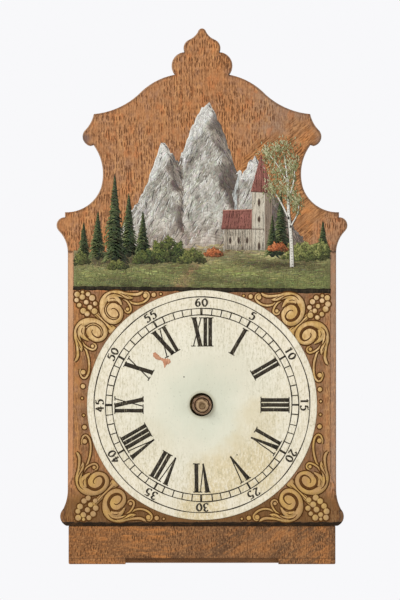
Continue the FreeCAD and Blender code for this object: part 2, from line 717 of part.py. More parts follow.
def movement_plates(plates):
    pivots = [SECOND_HEIGHT, ESCAPE_HEIGHT, ANCHOR_HEIGHT]
    front_bushes = [bush(GREAT_HEIGHT, FRONT_PLATE, HAND_BUSH_RADIUS, HAND_ARBOR_RADIUS)]
    front_bushes += [bush(height, FRONT_PLATE, BUSH_RADIUS, PIVOT_RADIUS) for height in pivots]
    back_bushes = [bush(GREAT_HEIGHT, BACK_PLATE, BUSH_RADIUS, PIVOT_RADIUS)]
    back_bushes += [bush(height, BACK_PLATE, BUSH_RADIUS, PIVOT_RADIUS) for height in pivots[:2]]
    back_bushes.append(bush(ANCHOR_HEIGHT, BACK_PLATE, BUSH_RADIUS, ANCHOR_ARBOR_RADIUS))
    front_holes = [rod(0, GREAT_HEIGHT, FRONT_PLATE, HAND_BUSH_RADIUS)]
    front_holes += [rod(0, height, FRONT_PLATE, BUSH_RADIUS) for height in pivots]
    back_holes = [rod(0, height, BACK_PLATE, BUSH_RADIUS) for height in [GREAT_HEIGHT] + pivots]
    post = minute_post()
    hook = suspension_hook()
    return {
        "front_plate": plates[0].cut(front_holes + [post]),
        "back_plate": plates[1].cut(back_holes + [hook]),
        "front_bushes": Part.makeCompound(front_bushes),
        "back_bushes": Part.makeCompound(back_bushes),
        "minute_wheel_post": post,
        "post_collar": ring(-MOTION_DROP, COLLAR, COLLAR_RADIUS, SECOND_ARBOR_RADIUS + FIT),
        "suspension_hook": hook,
    }


def minute_post():
    front = FRONT_PLATE[0]
    radius = SECOND_ARBOR_RADIUS
    return lathe(0, -MOTION_DROP, [
        (0, POST_FRONT),
        (radius, POST_FRONT),
        (radius, front - POST_SHOULDER),
        (POST_SHOULDER_RADIUS, front - POST_SHOULDER),
        (POST_SHOULDER_RADIUS, front),
        (radius, front),
        (radius, front + POST_IN_PLATE),
        (0, front + POST_IN_PLATE),
    ])


def suspension_hook():
    stem = rod(0, HOOK_HEIGHT, (BACK_PLATE[1] - HOOK_IN_PLATE, HOOK_END), HOOK_WIRE)
    bend = Part.makeSphere(HOOK_WIRE, point(0, HOOK_END, HOOK_HEIGHT))
    tip = Part.makeCylinder(HOOK_WIRE, HOOK_UPTURN, point(0, HOOK_END, HOOK_HEIGHT), V(0, 0, 1))
    return stem.fuse([bend, tip]).removeSplitter()


def stepped_arbor(height, radius, front_radius, front_end, rear_radius, rear_end):
    front_shoulder = FRONT_PLATE[1] + PLATE_FREEDOM
    rear_shoulder = BACK_PLATE[0] - PLATE_FREEDOM
    return lathe(0, height, [
        (0, front_end),
        (front_radius, front_end),
        (front_radius, front_shoulder),
        (radius, front_shoulder),
        (radius, rear_shoulder),
        (rear_radius, rear_shoulder),
        (rear_radius, rear_end),
        (0, rear_end),
    ])


def collet(height, wheel_depths, size, arbor_radius):
    radius, length = size
    return ring(height, (wheel_depths[1], wheel_depths[1] + length), radius, arbor_radius + FIT)


def great_arbor_pieces():
    radius = GREAT_ARBOR_RADIUS
    rear_end = BACK_PLATE[1] - PIVOT_STOP
    wheel = train_wheel(GREAT_HEIGHT, GREAT_WHEEL, GREAT_MODULE, GREAT_HUB, radius + FIT)
    rivet_depths = (RATCHET[0] - CLICK_RIVET_HEAD, GREAT_WHEEL[1])
    rivet = rod(CLICK_RIVET_RADIUS, GREAT_HEIGHT, rivet_depths, CLICK_RIVET)
    return {
        "great_arbor": stepped_arbor(
            GREAT_HEIGHT, radius, HAND_ARBOR_RADIUS, ARBOR_NOSE, PIVOT_RADIUS, rear_end),
        "great_wheel": wheel.cut(rivet),
        "great_collet": collet(GREAT_HEIGHT, GREAT_WHEEL, GREAT_COLLET, radius),
        "click_rivet": rivet,
        "click_spring": click_spring().cut(rivet),
    }


def click_spring():
    # A bent brass strip riveted to a spoke; its free end stands just clear of the ratchet.
    depth = RATCHET[0]
    eye = rod(CLICK_RIVET_RADIUS, GREAT_HEIGHT, (depth, RATCHET[1]), CLICK_EYE)
    boss = rod(CLICK_RIVET_RADIUS, GREAT_HEIGHT, (RATCHET[1], GREAT_WHEEL[0]), CLICK_BOSS)

    def place(pair):
        return point(pair[0], depth, GREAT_HEIGHT + pair[1])

    inner_tip = polar(GREAT_HEIGHT, depth, CLICK_REACH, CLICK_TIP_ANGLE)
    outer_tip = polar(GREAT_HEIGHT, depth, CLICK_REACH + CLICK_STRIP, CLICK_TIP_ANGLE)
    strip = Part.Wire([
        arc_edge(place(CLICK_INNER_ROOT), place(CLICK_INNER_MIDDLE), inner_tip),
        line_edge(inner_tip, outer_tip),
        arc_edge(outer_tip, place(CLICK_OUTER_MIDDLE), place(CLICK_OUTER_ROOT)),
        line_edge(place(CLICK_OUTER_ROOT), place(CLICK_INNER_ROOT)),
    ])
    return eye.fuse([boss, slab([strip], RATCHET)]).removeSplitter()


def sprocket_pieces():
    near, far = SPROCKET
    core = rod(0, GREAT_HEIGHT, SPROCKET, SPROCKET_CORE)
    flanges = [
        rod(0, GREAT_HEIGHT, (near, near + SPROCKET_FLANGE_THICK), SPROCKET_FLANGE),
        rod(0, GREAT_HEIGHT, (far - SPROCKET_FLANGE_THICK, far), SPROCKET_FLANGE),
    ]
    spikes = []
    for spike in range(SPROCKET_SPIKES):
        angle = 2 * math.pi * spike / SPROCKET_SPIKES
        foot = polar(GREAT_HEIGHT, (near + far) / 2, SPROCKET_CORE - SPIKE_ROOT, angle)
        outward = V(math.sin(angle), 0, math.cos(angle))
        spikes.append(Part.makeCone(SPIKE_RADII[0], SPIKE_RADII[1], SPIKE_HEIGHT, foot, outward))
    hub = rod(0, GREAT_HEIGHT, (far, RATCHET[0]), SPROCKET_HUB)
    bore = GREAT_ARBOR_RADIUS + RUNNING_PLAY
    hole = rod(0, GREAT_HEIGHT, (near - OVERRUN, RATCHET[0] + OVERRUN), bore)
    outline = saw_wire(GREAT_HEIGHT, RATCHET[0], RATCHET_TEETH, RATCHET_ROOT, RATCHET_TIP, RATCHET_SHARES)
    return {
        "chain_sprocket": core.fuse(flanges + spikes + [hub]).removeSplitter().cut(hole),
        "ratchet_wheel": slab([outline, circle(0, GREAT_HEIGHT, RATCHET[0], bore)], RATCHET),
    }


def second_arbor_pieces():
    radius = SECOND_ARBOR_RADIUS
    ends = (FRONT_PLATE[0] + PIVOT_STOP, BACK_PLATE[1] - PIVOT_STOP)
    shrouds, trundles = lantern_pinion(SECOND_HEIGHT, SECOND_LANTERN, GREAT_MODULE, radius)
    return {
        "second_arbor": stepped_arbor(SECOND_HEIGHT, radius, PIVOT_RADIUS, ends[0], PIVOT_RADIUS, ends[1]),
        "second_wheel": train_wheel(SECOND_HEIGHT, SECOND_WHEEL, SECOND_MODULE, SECOND_HUB, radius + FIT),
        "second_collet": collet(SECOND_HEIGHT, SECOND_WHEEL, SECOND_COLLET, radius),
        "second_shrouds": shrouds,
        "second_trundles": trundles,
    }


def escape_arbor_pieces():
    radius = ESCAPE_ARBOR_RADIUS
    ends = (FRONT_PLATE[0] + PIVOT_STOP, BACK_PLATE[1] - PIVOT_STOP)
    shrouds, trundles = lantern_pinion(ESCAPE_HEIGHT, ESCAPE_LANTERN, SECOND_MODULE, radius)
    depth = ESCAPE_WHEEL[0]
    root = ESCAPE_RADIUS - ESCAPE_TOOTH
    outline = saw_wire(ESCAPE_HEIGHT, depth, ESCAPE_TEETH, root, ESCAPE_RADIUS, ESCAPE_TOOTH_SHARES)
    windows = spoke_windows(ESCAPE_HEIGHT, depth, root - ESCAPE_RIM_WIDTH, ESCAPE_HUB)
    hole = circle(0, ESCAPE_HEIGHT, depth, radius + FIT)
    return {
        "escape_arbor": stepped_arbor(ESCAPE_HEIGHT, radius, PIVOT_RADIUS, ends[0], PIVOT_RADIUS, ends[1]),
        "escape_wheel": slab([outline] + windows + [hole], ESCAPE_WHEEL),
        "escape_collet": collet(ESCAPE_HEIGHT, ESCAPE_WHEEL, ESCAPE_COLLET, radius),
        "escape_shrouds": shrouds,
        "escape_trundles": trundles,
    }


def anchor_steel():
    # An arch concentric with the escape wheel at rest, its ends cut as pallets, on a hub above.
    depth = ANCHOR_STEEL[0]

    def on_arch(radius, angle):
        return polar(ESCAPE_HEIGHT, depth, radius, angle)

    pallet = ANCHOR_SPAN + PALLET_REACH
    inner_left = on_arch(ANCHOR_INNER, -pallet)
    inner_right = on_arch(ANCHOR_INNER, pallet)
    outer_left = on_arch(ANCHOR_OUTER, -ANCHOR_SPAN)
    outer_right = on_arch(ANCHOR_OUTER, ANCHOR_SPAN)
    arch = Part.Wire([
        arc_edge(inner_left, on_arch(ANCHOR_INNER, 0.0), inner_right),
        line_edge(inner_right, outer_right),
        arc_edge(outer_right, on_arch(ANCHOR_OUTER, 0.0), outer_left),
        line_edge(outer_left, inner_left),
    ])
    neck_heights = (ESCAPE_HEIGHT + ANCHOR_INNER + OVERRUN, ANCHOR_HEIGHT)
    neck = block((-ANCHOR_NECK_HALF, ANCHOR_NECK_HALF), ANCHOR_STEEL, neck_heights)
    hub = rod(0, ANCHOR_HEIGHT, ANCHOR_STEEL, ANCHOR_HUB)
    bore_depths = (depth - OVERRUN, ANCHOR_STEEL[1] + OVERRUN)
    bore = rod(0, ANCHOR_HEIGHT, bore_depths, ANCHOR_ARBOR_RADIUS + FIT)
    return slab([arch], ANCHOR_STEEL).fuse([neck, hub]).removeSplitter().cut(bore)


def crutch():
    # A wire that hangs from a small hub behind the back plate and ends in a fork for the pendulum rod.
    hub_depths = (CRUTCH_DEPTH - CRUTCH_HUB_HALF, CRUTCH_DEPTH + CRUTCH_HUB_HALF)
    hub = ring(ANCHOR_HEIGHT, hub_depths, CRUTCH_HUB_RADIUS, ANCHOR_ARBOR_RADIUS + FIT)
    drop = ANCHOR_HEIGHT - (CRUTCH_HUB_RADIUS + ANCHOR_ARBOR_RADIUS) / 2 - CRUTCH_FOOT
    stem = Part.makeCylinder(CRUTCH_WIRE, drop, point(0, CRUTCH_DEPTH, CRUTCH_FOOT), V(0, 0, 1))
    bar = Part.makeCylinder(
        CRUTCH_WIRE, 2 * CRUTCH_FORK_HALF, point(-CRUTCH_FORK_HALF, CRUTCH_DEPTH, CRUTCH_FOOT), V(1, 0, 0))
    pieces = [stem, bar]
    for side in (-1, 1):
        pieces.append(rod(side * CRUTCH_FORK_HALF, CRUTCH_FOOT, (CRUTCH_DEPTH, CRUTCH_FORK_END), CRUTCH_WIRE))
        pieces.append(Part.makeSphere(CRUTCH_WIRE, point(side * CRUTCH_FORK_HALF, CRUTCH_DEPTH, CRUTCH_FOOT)))
    return hub.fuse(pieces).removeSplitter()


def anchor_pieces():
    radius = ANCHOR_ARBOR_RADIUS
    ends = (FRONT_PLATE[0] + PIVOT_STOP, CRUTCH_ARBOR_END)
    arbor = stepped_arbor(ANCHOR_HEIGHT, radius, PIVOT_RADIUS, ends[0], radius, ends[1])
    return {"anchor_arbor": arbor, "anchor": anchor_steel(), "crutch": crutch()}


def minute_pipe():
    # Cannon pinion and the pipe that carries the minute hand, one piece.
    bore = HAND_ARBOR_RADIUS + RUNNING_PLAY
    near = CANNON_PINION[0]
    rows = involute_rows(CANNON_TEETH)
    outline = toothed_wire(GREAT_HEIGHT, near, CANNON_TEETH, rows, math.pi)
    pinion = slab([outline, circle(0, GREAT_HEIGHT, near, bore)], CANNON_PINION)
    pipe = lathe(0, GREAT_HEIGHT, [
        (bore, MINUTE_NOSE),
        (MINUTE_SEAT_RADIUS - SEAT_BREAK, MINUTE_NOSE),
        (MINUTE_SEAT_RADIUS, MINUTE_NOSE + SEAT_BREAK),
        (MINUTE_SEAT_RADIUS, MINUTE_SHOULDER),
        (MINUTE_PIPE_RADIUS, MINUTE_SHOULDER),
        (MINUTE_PIPE_RADIUS, near),
        (bore, near),
    ])
    return pinion.fuse(pipe).removeSplitter()


def friction_washer():
    # A dished spring washer between the cannon pinion and the front plate.
    bore = HAND_ARBOR_RADIUS + RUNNING_PLAY
    near = CANNON_PINION[1]
    far = FRONT_PLATE[0] - WASHER_GAP
    return lathe(0, GREAT_HEIGHT, [
        (bore, near),
        (bore + WASHER_THICK, near),
        (WASHER_RADIUS, far - WASHER_THICK),
        (WASHER_RADIUS, far),
        (bore, near + WASHER_THICK),
    ])


def minute_wheel_pieces():
    bore = SECOND_ARBOR_RADIUS + RUNNING_PLAY
    hub_radius = MINUTE_HUB_RADIUS
    wheel_rows = involute_rows(MINUTE_WHEEL_TEETH)
    gap_up = math.pi / MINUTE_WHEEL_TEETH
    outline = toothed_wire(-MOTION_DROP, MINUTE_WHEEL[0], MINUTE_WHEEL_TEETH, wheel_rows, gap_up)
    root = wheel_rows[0][0]
    wheel = crossed_wheel(-MOTION_DROP, MINUTE_WHEEL, outline, root, MINUTE_WHEEL_HUB, hub_radius + FIT)
    pinion_outline = toothed_wire(
        -MOTION_DROP, MINUTE_PINION[0], MINUTE_PINION_TEETH, involute_rows(MINUTE_PINION_TEETH), 0.0)
    pinion = slab([pinion_outline, circle(0, -MOTION_DROP, MINUTE_PINION[0], bore)], MINUTE_PINION)
    hub_depths = (MINUTE_PINION[1], MINUTE_WHEEL[1] + MINUTE_HUB_OVERHANG)
    hub = ring(-MOTION_DROP, hub_depths, hub_radius, bore)
    return {"minute_wheel": wheel, "minute_pinion": pinion.fuse(hub).removeSplitter()}


def hour_pieces():
    rows = involute_rows(HOUR_WHEEL_TEETH)
    gap_down = math.pi + math.pi / HOUR_WHEEL_TEETH
    outline = toothed_wire(GREAT_HEIGHT, HOUR_WHEEL[0], HOUR_WHEEL_TEETH, rows, gap_down)
    bore = HOUR_PIPE_RADIUS + FIT
    wheel = crossed_wheel(GREAT_HEIGHT, HOUR_WHEEL, outline, rows[0][0], HOUR_WHEEL_HUB, bore)
    pipe = lathe(0, GREAT_HEIGHT, [
        (HOUR_PIPE_BORE, HOUR_NOSE + BORE_BREAK),
        (HOUR_PIPE_BORE + BORE_BREAK, HOUR_NOSE),
        (HOUR_SEAT_RADIUS - SEAT_BREAK, HOUR_NOSE),
        (HOUR_SEAT_RADIUS, HOUR_NOSE + SEAT_BREAK),
        (HOUR_SEAT_RADIUS, HOUR_SHOULDER),
        (HOUR_PIPE_RADIUS, HOUR_SHOULDER),
        (HOUR_PIPE_RADIUS, HOUR_PIPE_REAR),
        (HOUR_PIPE_BORE, HOUR_PIPE_REAR),
    ])
    return {"hour_wheel": wheel, "hour_pipe": pipe}


def build():
    nodes, top_dowels, foot_dowels = front_boards()
    boards, plates = case_boards(top_dowels, foot_dowels)
    nodes.update(boards)
    nodes.update(movement_plates(plates))
    for pieces in (great_arbor_pieces, sprocket_pieces, second_arbor_pieces, escape_arbor_pieces):
        nodes.update(pieces())
    for pieces in (anchor_pieces, minute_wheel_pieces, hour_pieces):
        nodes.update(pieces())
    nodes["minute_pipe"] = minute_pipe()
    nodes["friction_washer"] = friction_washer()
    for name, side in (("left", -1), ("right", 1)):
        leaf, pins = door(side)
        nodes[name + "_door"] = leaf
        nodes[name + "_door_pins"] = pins
    return nodes


def main():
    os.makedirs("parts", exist_ok=True)
    for name, shape in build().items():
        if not shape.isValid():
            print("not valid:", name)
        print(f"{name:20s} {len(shape.Solids)} solids, {len(shape.Faces)} faces, {shape.Volume:.1f} mm3")
        shape.exportStep(os.path.join("parts", name + ".step"))


main()
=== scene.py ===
import json
import math
from types import SimpleNamespace as names

import bpy
import numpy as np
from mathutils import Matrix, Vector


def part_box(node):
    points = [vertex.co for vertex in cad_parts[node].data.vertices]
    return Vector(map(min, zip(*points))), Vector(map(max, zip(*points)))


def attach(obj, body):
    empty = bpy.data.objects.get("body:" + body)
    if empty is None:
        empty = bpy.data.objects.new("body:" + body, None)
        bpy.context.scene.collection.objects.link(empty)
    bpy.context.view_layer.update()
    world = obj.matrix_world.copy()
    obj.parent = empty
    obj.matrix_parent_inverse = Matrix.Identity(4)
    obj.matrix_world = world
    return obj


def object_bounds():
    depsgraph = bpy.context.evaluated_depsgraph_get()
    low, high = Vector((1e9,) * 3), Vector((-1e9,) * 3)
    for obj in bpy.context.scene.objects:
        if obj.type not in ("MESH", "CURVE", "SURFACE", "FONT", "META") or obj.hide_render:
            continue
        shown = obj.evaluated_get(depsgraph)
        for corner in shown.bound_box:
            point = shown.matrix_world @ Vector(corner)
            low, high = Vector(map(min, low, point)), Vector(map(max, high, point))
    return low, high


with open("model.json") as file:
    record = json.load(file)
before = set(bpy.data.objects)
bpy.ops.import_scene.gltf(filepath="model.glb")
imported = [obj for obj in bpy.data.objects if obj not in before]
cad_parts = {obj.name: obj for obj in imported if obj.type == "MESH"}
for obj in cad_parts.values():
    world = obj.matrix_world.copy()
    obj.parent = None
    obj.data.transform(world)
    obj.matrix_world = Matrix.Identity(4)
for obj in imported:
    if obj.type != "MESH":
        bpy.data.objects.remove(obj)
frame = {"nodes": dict(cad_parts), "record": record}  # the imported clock, in metres, front towards -Y
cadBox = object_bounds()
mm = 0.001
rng = np.random.default_rng(1870)  # one seeded source for all scatter

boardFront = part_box("shield_board")[0].y
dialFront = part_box("dial_face")[0].y
dialZ = (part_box("dial_face")[0].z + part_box("dial_face")[1].z) / 2
print("frame loaded:", len(frame["nodes"]), "nodes")


# Colours are noted as 0 to 255 screen values and used as linear light.
def linear(shades):
    c = np.asarray(shades, float) / 255
    return np.where(c <= 0.04045, c / 12.92, ((c + 0.055) / 1.055) ** 2.4)


def tone(shade):
    return (*linear(shade), 1)


# Camera and studio. A lamp is its power in watts, its place and its width.
studio = {
    "distance": 5, "viewHeight": 0.42648, "sensor": 36, "aim": (-0.00142, -0.0634), "clip": (0.05, 50),
    "lamps": {"keyLamp": (42, (-1.45, -1.95, 1.25), 1.3), "fillLamp": (11, (1.7, -1.9, 0.2), 1.4),
              "rimLamp": (9, (0.6, 1.7, 1.1), 1.4)},
    "lampAim": 0.06, "ambient": 0.48, "white": (248, 248, 250),
    "floorDrop": 0.5, "floorRadius": 1.6, "floorTones": ((236, 236, 237), (246, 246, 247)),
}


def show(name, data):
    thing = bpy.data.objects.new(name, data)
    bpy.context.scene.collection.objects.link(thing)
    return thing


def makeCamera():
    data = bpy.data.cameras.new("frontView")
    data.sensor_fit = "VERTICAL"
    data.sensor_height = data.sensor_width = studio["sensor"]
    data.lens = studio["sensor"] * studio["distance"] / studio["viewHeight"]
    data.clip_start, data.clip_end = studio["clip"]
    camera = bpy.context.scene.camera = show("frontView", data)
    camera.location = (studio["aim"][0], boardFront - studio["distance"], studio["aim"][1])
    camera.rotation_euler = (math.pi / 2, 0, 0)


def makeLamp(name, power, place, size):
    data = bpy.data.lights.new(name, "AREA")
    data.energy, data.size, data.shape = power, size, "DISK"
    lamp = show(name, data)
    lamp.location = place
    x, y, z = np.array(place) - (0, boardFront, dialZ + studio["lampAim"])
    lamp.rotation_euler = (math.atan2(math.hypot(x, y), z), 0, math.atan2(x, -y))


# Node helpers. A wire is a node's output, and arithmetic on wires makes math nodes in the tree at hand.
# A wire given to a socket is linked to it; anything else becomes the socket's own value.
tree = None


class wire:
    def __init__(self, socket):
        self.socket = socket

    def __add__(self, other):
        return calc("ADD", self, other)

    def __sub__(self, other):
        return calc("SUBTRACT", self, other)

    def __mul__(self, other):
        return calc("MULTIPLY", self, other)

    def __truediv__(self, other):
        return calc("DIVIDE", self, other)

    def __abs__(self):
        return calc("ABSOLUTE", self)


def openTree(owner):
    global tree
    owner.use_nodes = True
    tree = owner.node_tree
    tree.nodes.clear()


def give(socket, value):
    if isinstance(value, wire):
        tree.links.new(value.socket, socket)
    else:
        socket.default_value = value


# a new node's output, or all of them by name when out is None
def add(kind, values=None, out=0, **settings):
    node = tree.nodes.new("ShaderNode" + kind)
    for key, value in settings.items():
        setattr(node, key, value)
    for key, value in (values or {}).items():
        give(node.inputs[key], value)
    if out is None:
        return names(**{s.name.replace(" ", ""): wire(s) for s in node.outputs})
    return wire(node.outputs[out])


def calc(what, a, b=0):
    return add("Math", {0: a, 1: b}, operation=what)


def vectors(what, a, b=(0, 0, 0)):
    out = "Value" if what in ("LENGTH", "DISTANCE", "DOT_PRODUCT") else "Vector"
    return add("VectorMath", {0: a, 1: b}, out, operation=what)


def split(vector):
    return list(vars(add("SeparateXYZ", {0: vector}, None)).values())


def join(x, y=0, z=0):
    return add("CombineXYZ", {0: x, 1: y, 2: z})


def either(share, a, b):
    return add("Mix", {0: share, 2: a, 3: b}, data_type="FLOAT")


def blend(share, a, b):
    a, b = (c if isinstance(c, wire) else tone(c) for c in (a, b))
    return add("Mix", {0: share, 6: a, 7: b}, 2, data_type="RGBA")


# coats of a look's named tones, each laid over the last by its own mask
def layers(look, ground, /, **masks):
    for name, mask in masks.items():
        ground = blend(mask, ground, look[name])
    return ground


def ramp(value, low, high, toLow=0, toHigh=1):
    sockets = dict(enumerate((value, low, high, toLow, toHigh)))
    return add("MapRange", sockets, interpolation_type="SMOOTHSTEP")


def noise(vector, scale, detail=2, rough=0.5):
    return add("TexNoise", {"Vector": vector, "Scale": scale, "Detail": detail, "Roughness": rough})


def stretched(vector, scale, turn=(0, 0, 0)):
    return add("Mapping", {"Vector": vector, "Rotation": turn, "Scale": scale})


def leant(vector, degrees):
    return stretched(vector, (1, 1, 1), (0, math.radians(degrees), 0))


# noise drawn out along Z
def streaky(vector, across, along, detail=2, rough=0.5):
    return noise(stretched(vector, (across, across, along)), 1, detail, rough)


# distance on the front from a point given in mm about the dial's centre
def awayFrom(spot, acrossMm=0, upMm=0):
    x, _, z = split(spot)
    return vectors("DISTANCE", join(x, 0, z), (acrossMm * mm, 0, dialZ + upMm * mm))


def newMaterial(name, roughness, specular=0.25, metallic=0):
    material = bpy.data.materials.new(name)
    openTree(material)
    shader = add("BsdfPrincipled", {"Roughness": roughness, "Specular IOR Level": specular, "Metallic": metallic})
    add("OutputMaterial", {"Surface": shader}, None)
    coords = add("TexCoord", None, None)
    return material, coords.Object, coords.Normal


# colour, roughness and relief of the material at hand
def coat(material, base, rough, height, strength, depth=0.2 * mm):
    sockets = tree.nodes["Principled BSDF"].inputs
    give(sockets["Base Color"], base)
    give(sockets["Roughness"], rough)
    give(sockets["Normal"], add("Bump", {"Height": height, "Strength": strength, "Distance": depth}))
    return material


# A node group from a function of its inputs; an input without a value is a vector.
def makeGroup(build, inputs):
    global tree
    tree = group = bpy.data.node_groups.new(build.__name__, "ShaderNodeTree")
    for name, value in inputs.items():
        kind = "NodeSocketVector" if value is None else "NodeSocketFloat"
        socket = group.interface.new_socket(name, in_out="INPUT", socket_type=kind)
        if value is not None:
            socket.default_value = value
    given = group.nodes.new("NodeGroupInput").outputs
    made = build(names(**{name: wire(given[name]) for name in inputs}))
    for name in made:
        group.interface.new_socket(name, in_out="OUTPUT", socket_type="NodeSocketFloat")
    sockets = group.nodes.new("NodeGroupOutput").inputs
    for name, value in made.items():
        give(sockets[name], value)
    return group


def useGroup(group, **values):
    return add("Group", values, None, node_tree=group)


# Wood marks along Z: short dark pores, long streaks, broad clouds and ringed figure, as 0 to 1 masks
def grainMarks(given):
    fine = vectors("MULTIPLY", given.Vector, join(given.Across, given.Across, given.Along))
    rings = {"Vector": given.Vector, "Scale": 42, "Distortion": 9, "Detail": 2, "Detail Scale": 0.8}
    return {"Pores": ramp(noise(fine, 1, 1, 0.4), given.Bare, given.Bare + 0.06),
            "Streaks": ramp(streaky(fine, 0.33, 0.06, 3), 0.35, 0.68),
            "Clouds": ramp(noise(given.Vector, 26, 3), 0.3, 0.7),
            "Figure": add("TexWave", rings, "Fac", wave_type="RINGS", rings_direction="Y")}


# Combed dashes along Z: one upright dash in each cell of a scattered grid, of uneven strength.
# Width and Length are half sizes, as shares of a cell; Front is where the board's face lies.
def combedDashes(given):
    x, y, z = split(given.Vector)
    around = (y - given.Front) * calc("SIGN", x)
    sway = noise(given.Vector, 160) * 0.8
    spot = join((x + around) * given.Across + sway, z * given.Along)
    sockets = {"Vector": spot, "Scale": 1, "Randomness": given.Loose}
    cell = add("TexVoronoi", sockets, None, voronoi_dimensions="2D")
    farX, farY, _ = split(vectors("ABSOLUTE", vectors("SUBTRACT", spot, cell.Position)))
    across = ramp(farX, given.Width, given.Width * 0.4)
    along = ramp(farY, given.Length, given.Length * 0.5)
    return {"Dashes": across * along * ramp(split(cell.Color)[0], 0.1, 0.7, 0.4, 1)}


# Fibres that sway along Z: long threads broken into short pale and deep marks, and quiet flakes
# where few pores show, as 0 to 1 masks. Threads is the long lines' share of the pattern.
def swayingFibres(given):
    x, y, z = split(given.Vector)
    flow = join(x + (noise(given.Vector, 17, 1) - 0.5) * given.Sway, y, z)
    long, short = (vectors("MULTIPLY", flow, join(given.Across, given.Across, along))
                   for along in (16, given.Along))
    fibre = either(given.Threads, noise(short, 0.8, 2, 0.6), noise(long, 1, 1))
    hue = streaky(flow, 210, 120, 2, 0.6)
    return {"Pale": ramp(fibre, 0.51, 0.63), "Deep": ramp(fibre, 0.49, 0.37),
            "Open": ramp(streaky(flow, 44, 80, 3, 0.55), 0.34, 0.54, 0.3, 1),
            "Warm": ramp(hue, 0.5, 0.68), "Cool": ramp(hue, 0.48, 0.32)}


# Edges: how far the rounded normal turns away from the face's own, and whether it turns to the right.
# On wood this lays painted shade on the rounded edges; on metal it brightens worn edges.
def edgeRub(given):
    soft = add("Bevel", {"Radius": given.Radius}, samples=6)
    turn = vectors("DOT_PRODUCT", soft, add("NewGeometry", None, "Normal"))
    return {"Edge": ramp(turn, given.Start, given.Full), "Right": ramp(split(soft)[0], 0.05, 0.45)}


# Age: fine specks and soft mottling
def ageMarks(given):
    return {"Specks": ramp(noise(given.Vector, given.Specks, 1), 0.68, 0.74),
            "Mottle": ramp(noise(given.Vector, given.Mottle, 4, 0.6), 0.32, 0.7)}


def makeWorld():
    world = bpy.context.scene.world = bpy.data.worlds.new("studioWorld")
    openTree(world)
    rays = add("LightPath", None, None)
    seen = calc("MAXIMUM", rays.IsCameraRay, rays.IsGlossyRay)
    seen = calc("MAXIMUM", seen, rays.IsTransmissionRay)
    soft = add("Background", {"Color": (1, 1, 1, 1), "Strength": studio["ambient"]})
    white = add("Background", {"Color": tone(studio["white"]), "Strength": 1})
    add("OutputWorld", {"Surface": add("MixShader", {0: seen, 1: soft, 2: white})}, None)
    bpy.context.scene.view_settings.view_transform = "Standard"


# Floor: rings of a disc, r = R * t, with a faint mottled pale finish that is clear from below
def makeFloor():
    turns = np.linspace(0, 2 * np.pi, 64, endpoint=False)
    radii = studio["floorRadius"] * np.linspace(0.02, 1, 6)[:, None]
    x, y = radii * np.cos(turns), radii * np.sin(turns)
    z = np.full_like(x, cadBox[0].z - studio["floorDrop"])
    index = np.arange(x.size).reshape(x.shape)
    near = np.roll(index, -1, 1)
    quads = np.stack([index[:-1], index[1:], near[1:], near[:-1]], -1).reshape(-1, 4)
    mesh = bpy.data.meshes.new("studioFloor")
    mesh.from_pydata(np.stack([x, y, z], -1).reshape(-1, 3).tolist(), [], [*quads.tolist(), index[0].tolist()])
    floor = show("studioFloor", mesh)
    material, spot, _ = newMaterial("paleFloor", 0.8)
    shader = tree.nodes["Principled BSDF"]
    give(shader.inputs["Base Color"], blend(noise(spot, 3, 3), *studio["floorTones"]))
    under = add("NewGeometry", None, "Backfacing")
    sides = add("MixShader", {0: under, 1: wire(shader.outputs[0]), 2: add("BsdfTransparent")})
    give(tree.nodes["Material Output"].inputs["Surface"], sides)
    mesh.materials.append(material)


makeCamera()
for lampName, lampValues in studio["lamps"].items():
    makeLamp(lampName, *lampValues)
makeWorld()
makeFloor()
grain = makeGroup(grainMarks, {"Vector": None, "Across": 1000, "Along": 160, "Bare": 0.56})
combed = makeGroup(combedDashes, {"Vector": None, "Across": 480, "Along": 215, "Width": 0.2, "Length": 0.45,
                                  "Loose": 0.85, "Front": boardFront})
fibres = makeGroup(swayingFibres, {"Vector": None, "Sway": 0.03, "Across": 1100, "Along": 420, "Threads": 0.5})
wornAndShadedEdges = makeGroup(edgeRub, {"Radius": 0.0008, "Start": 0.995, "Full": 0.8})
aged = makeGroup(ageMarks, {"Vector": None, "Specks": 900, "Mottle": 90})
print("camera, lamps and floor made")


# Board with painted grain, painted highlights on its chamfers and painted shade on its edges and in its hand hole.
# Heights are mm above the dial's centre; worn spots are (x, height, radius, strength).
shieldLook = {
    "left": (179, 131, 93), "right": (161, 131, 107), "middle": (181, 128, 86),
    "panelLeft": (182, 130, 80), "panelRight": (169, 130, 92), "panelDeep": (115, 92, 70), "smudge": (120, 91, 68),
    "glow": (206, 134, 70), "warm": (198, 118, 66), "cool": (160, 122, 100), "streak": (150, 102, 64),
    "gold": (208, 136, 60), "wave": (126, 86, 54), "low": (107, 77, 40), "pale": (220, 164, 106),
    "deep": (100, 66, 42), "pore": (78, 44, 18), "poreWarm": (116, 66, 32), "rightBevel": (224, 180, 146),
    "leftBevel": (202, 146, 104), "leftBevelTop": (214, 170, 132), "edge": (70, 54, 44), "worn": (112, 94, 88),
    "back": (120, 86, 58), "foot": (40, 31, 22), "hole": (18, 12, 8),
    "panelHalf": (91.5, 91.1), "panelTop": (81, 80.4), "lowFrom": (-56, -70), "footTop": (-83, -83.4),
    "bevelTop": (30, 75), "holeRadius": (11, 9.5),
    "curlAt": (62, 160), "curlHalf": (40, 50), "curlTurn": -50,
    "wornSpots": ((-83.5, 189, 5.5, 0.8), (83.5, 187.5, 5, 0.45)),
}


# a mask that rises between two heights, given in mm above the dial's centre
def between(z, heights, *to):
    return ramp(z, *(dialZ + h * mm for h in heights), *to)


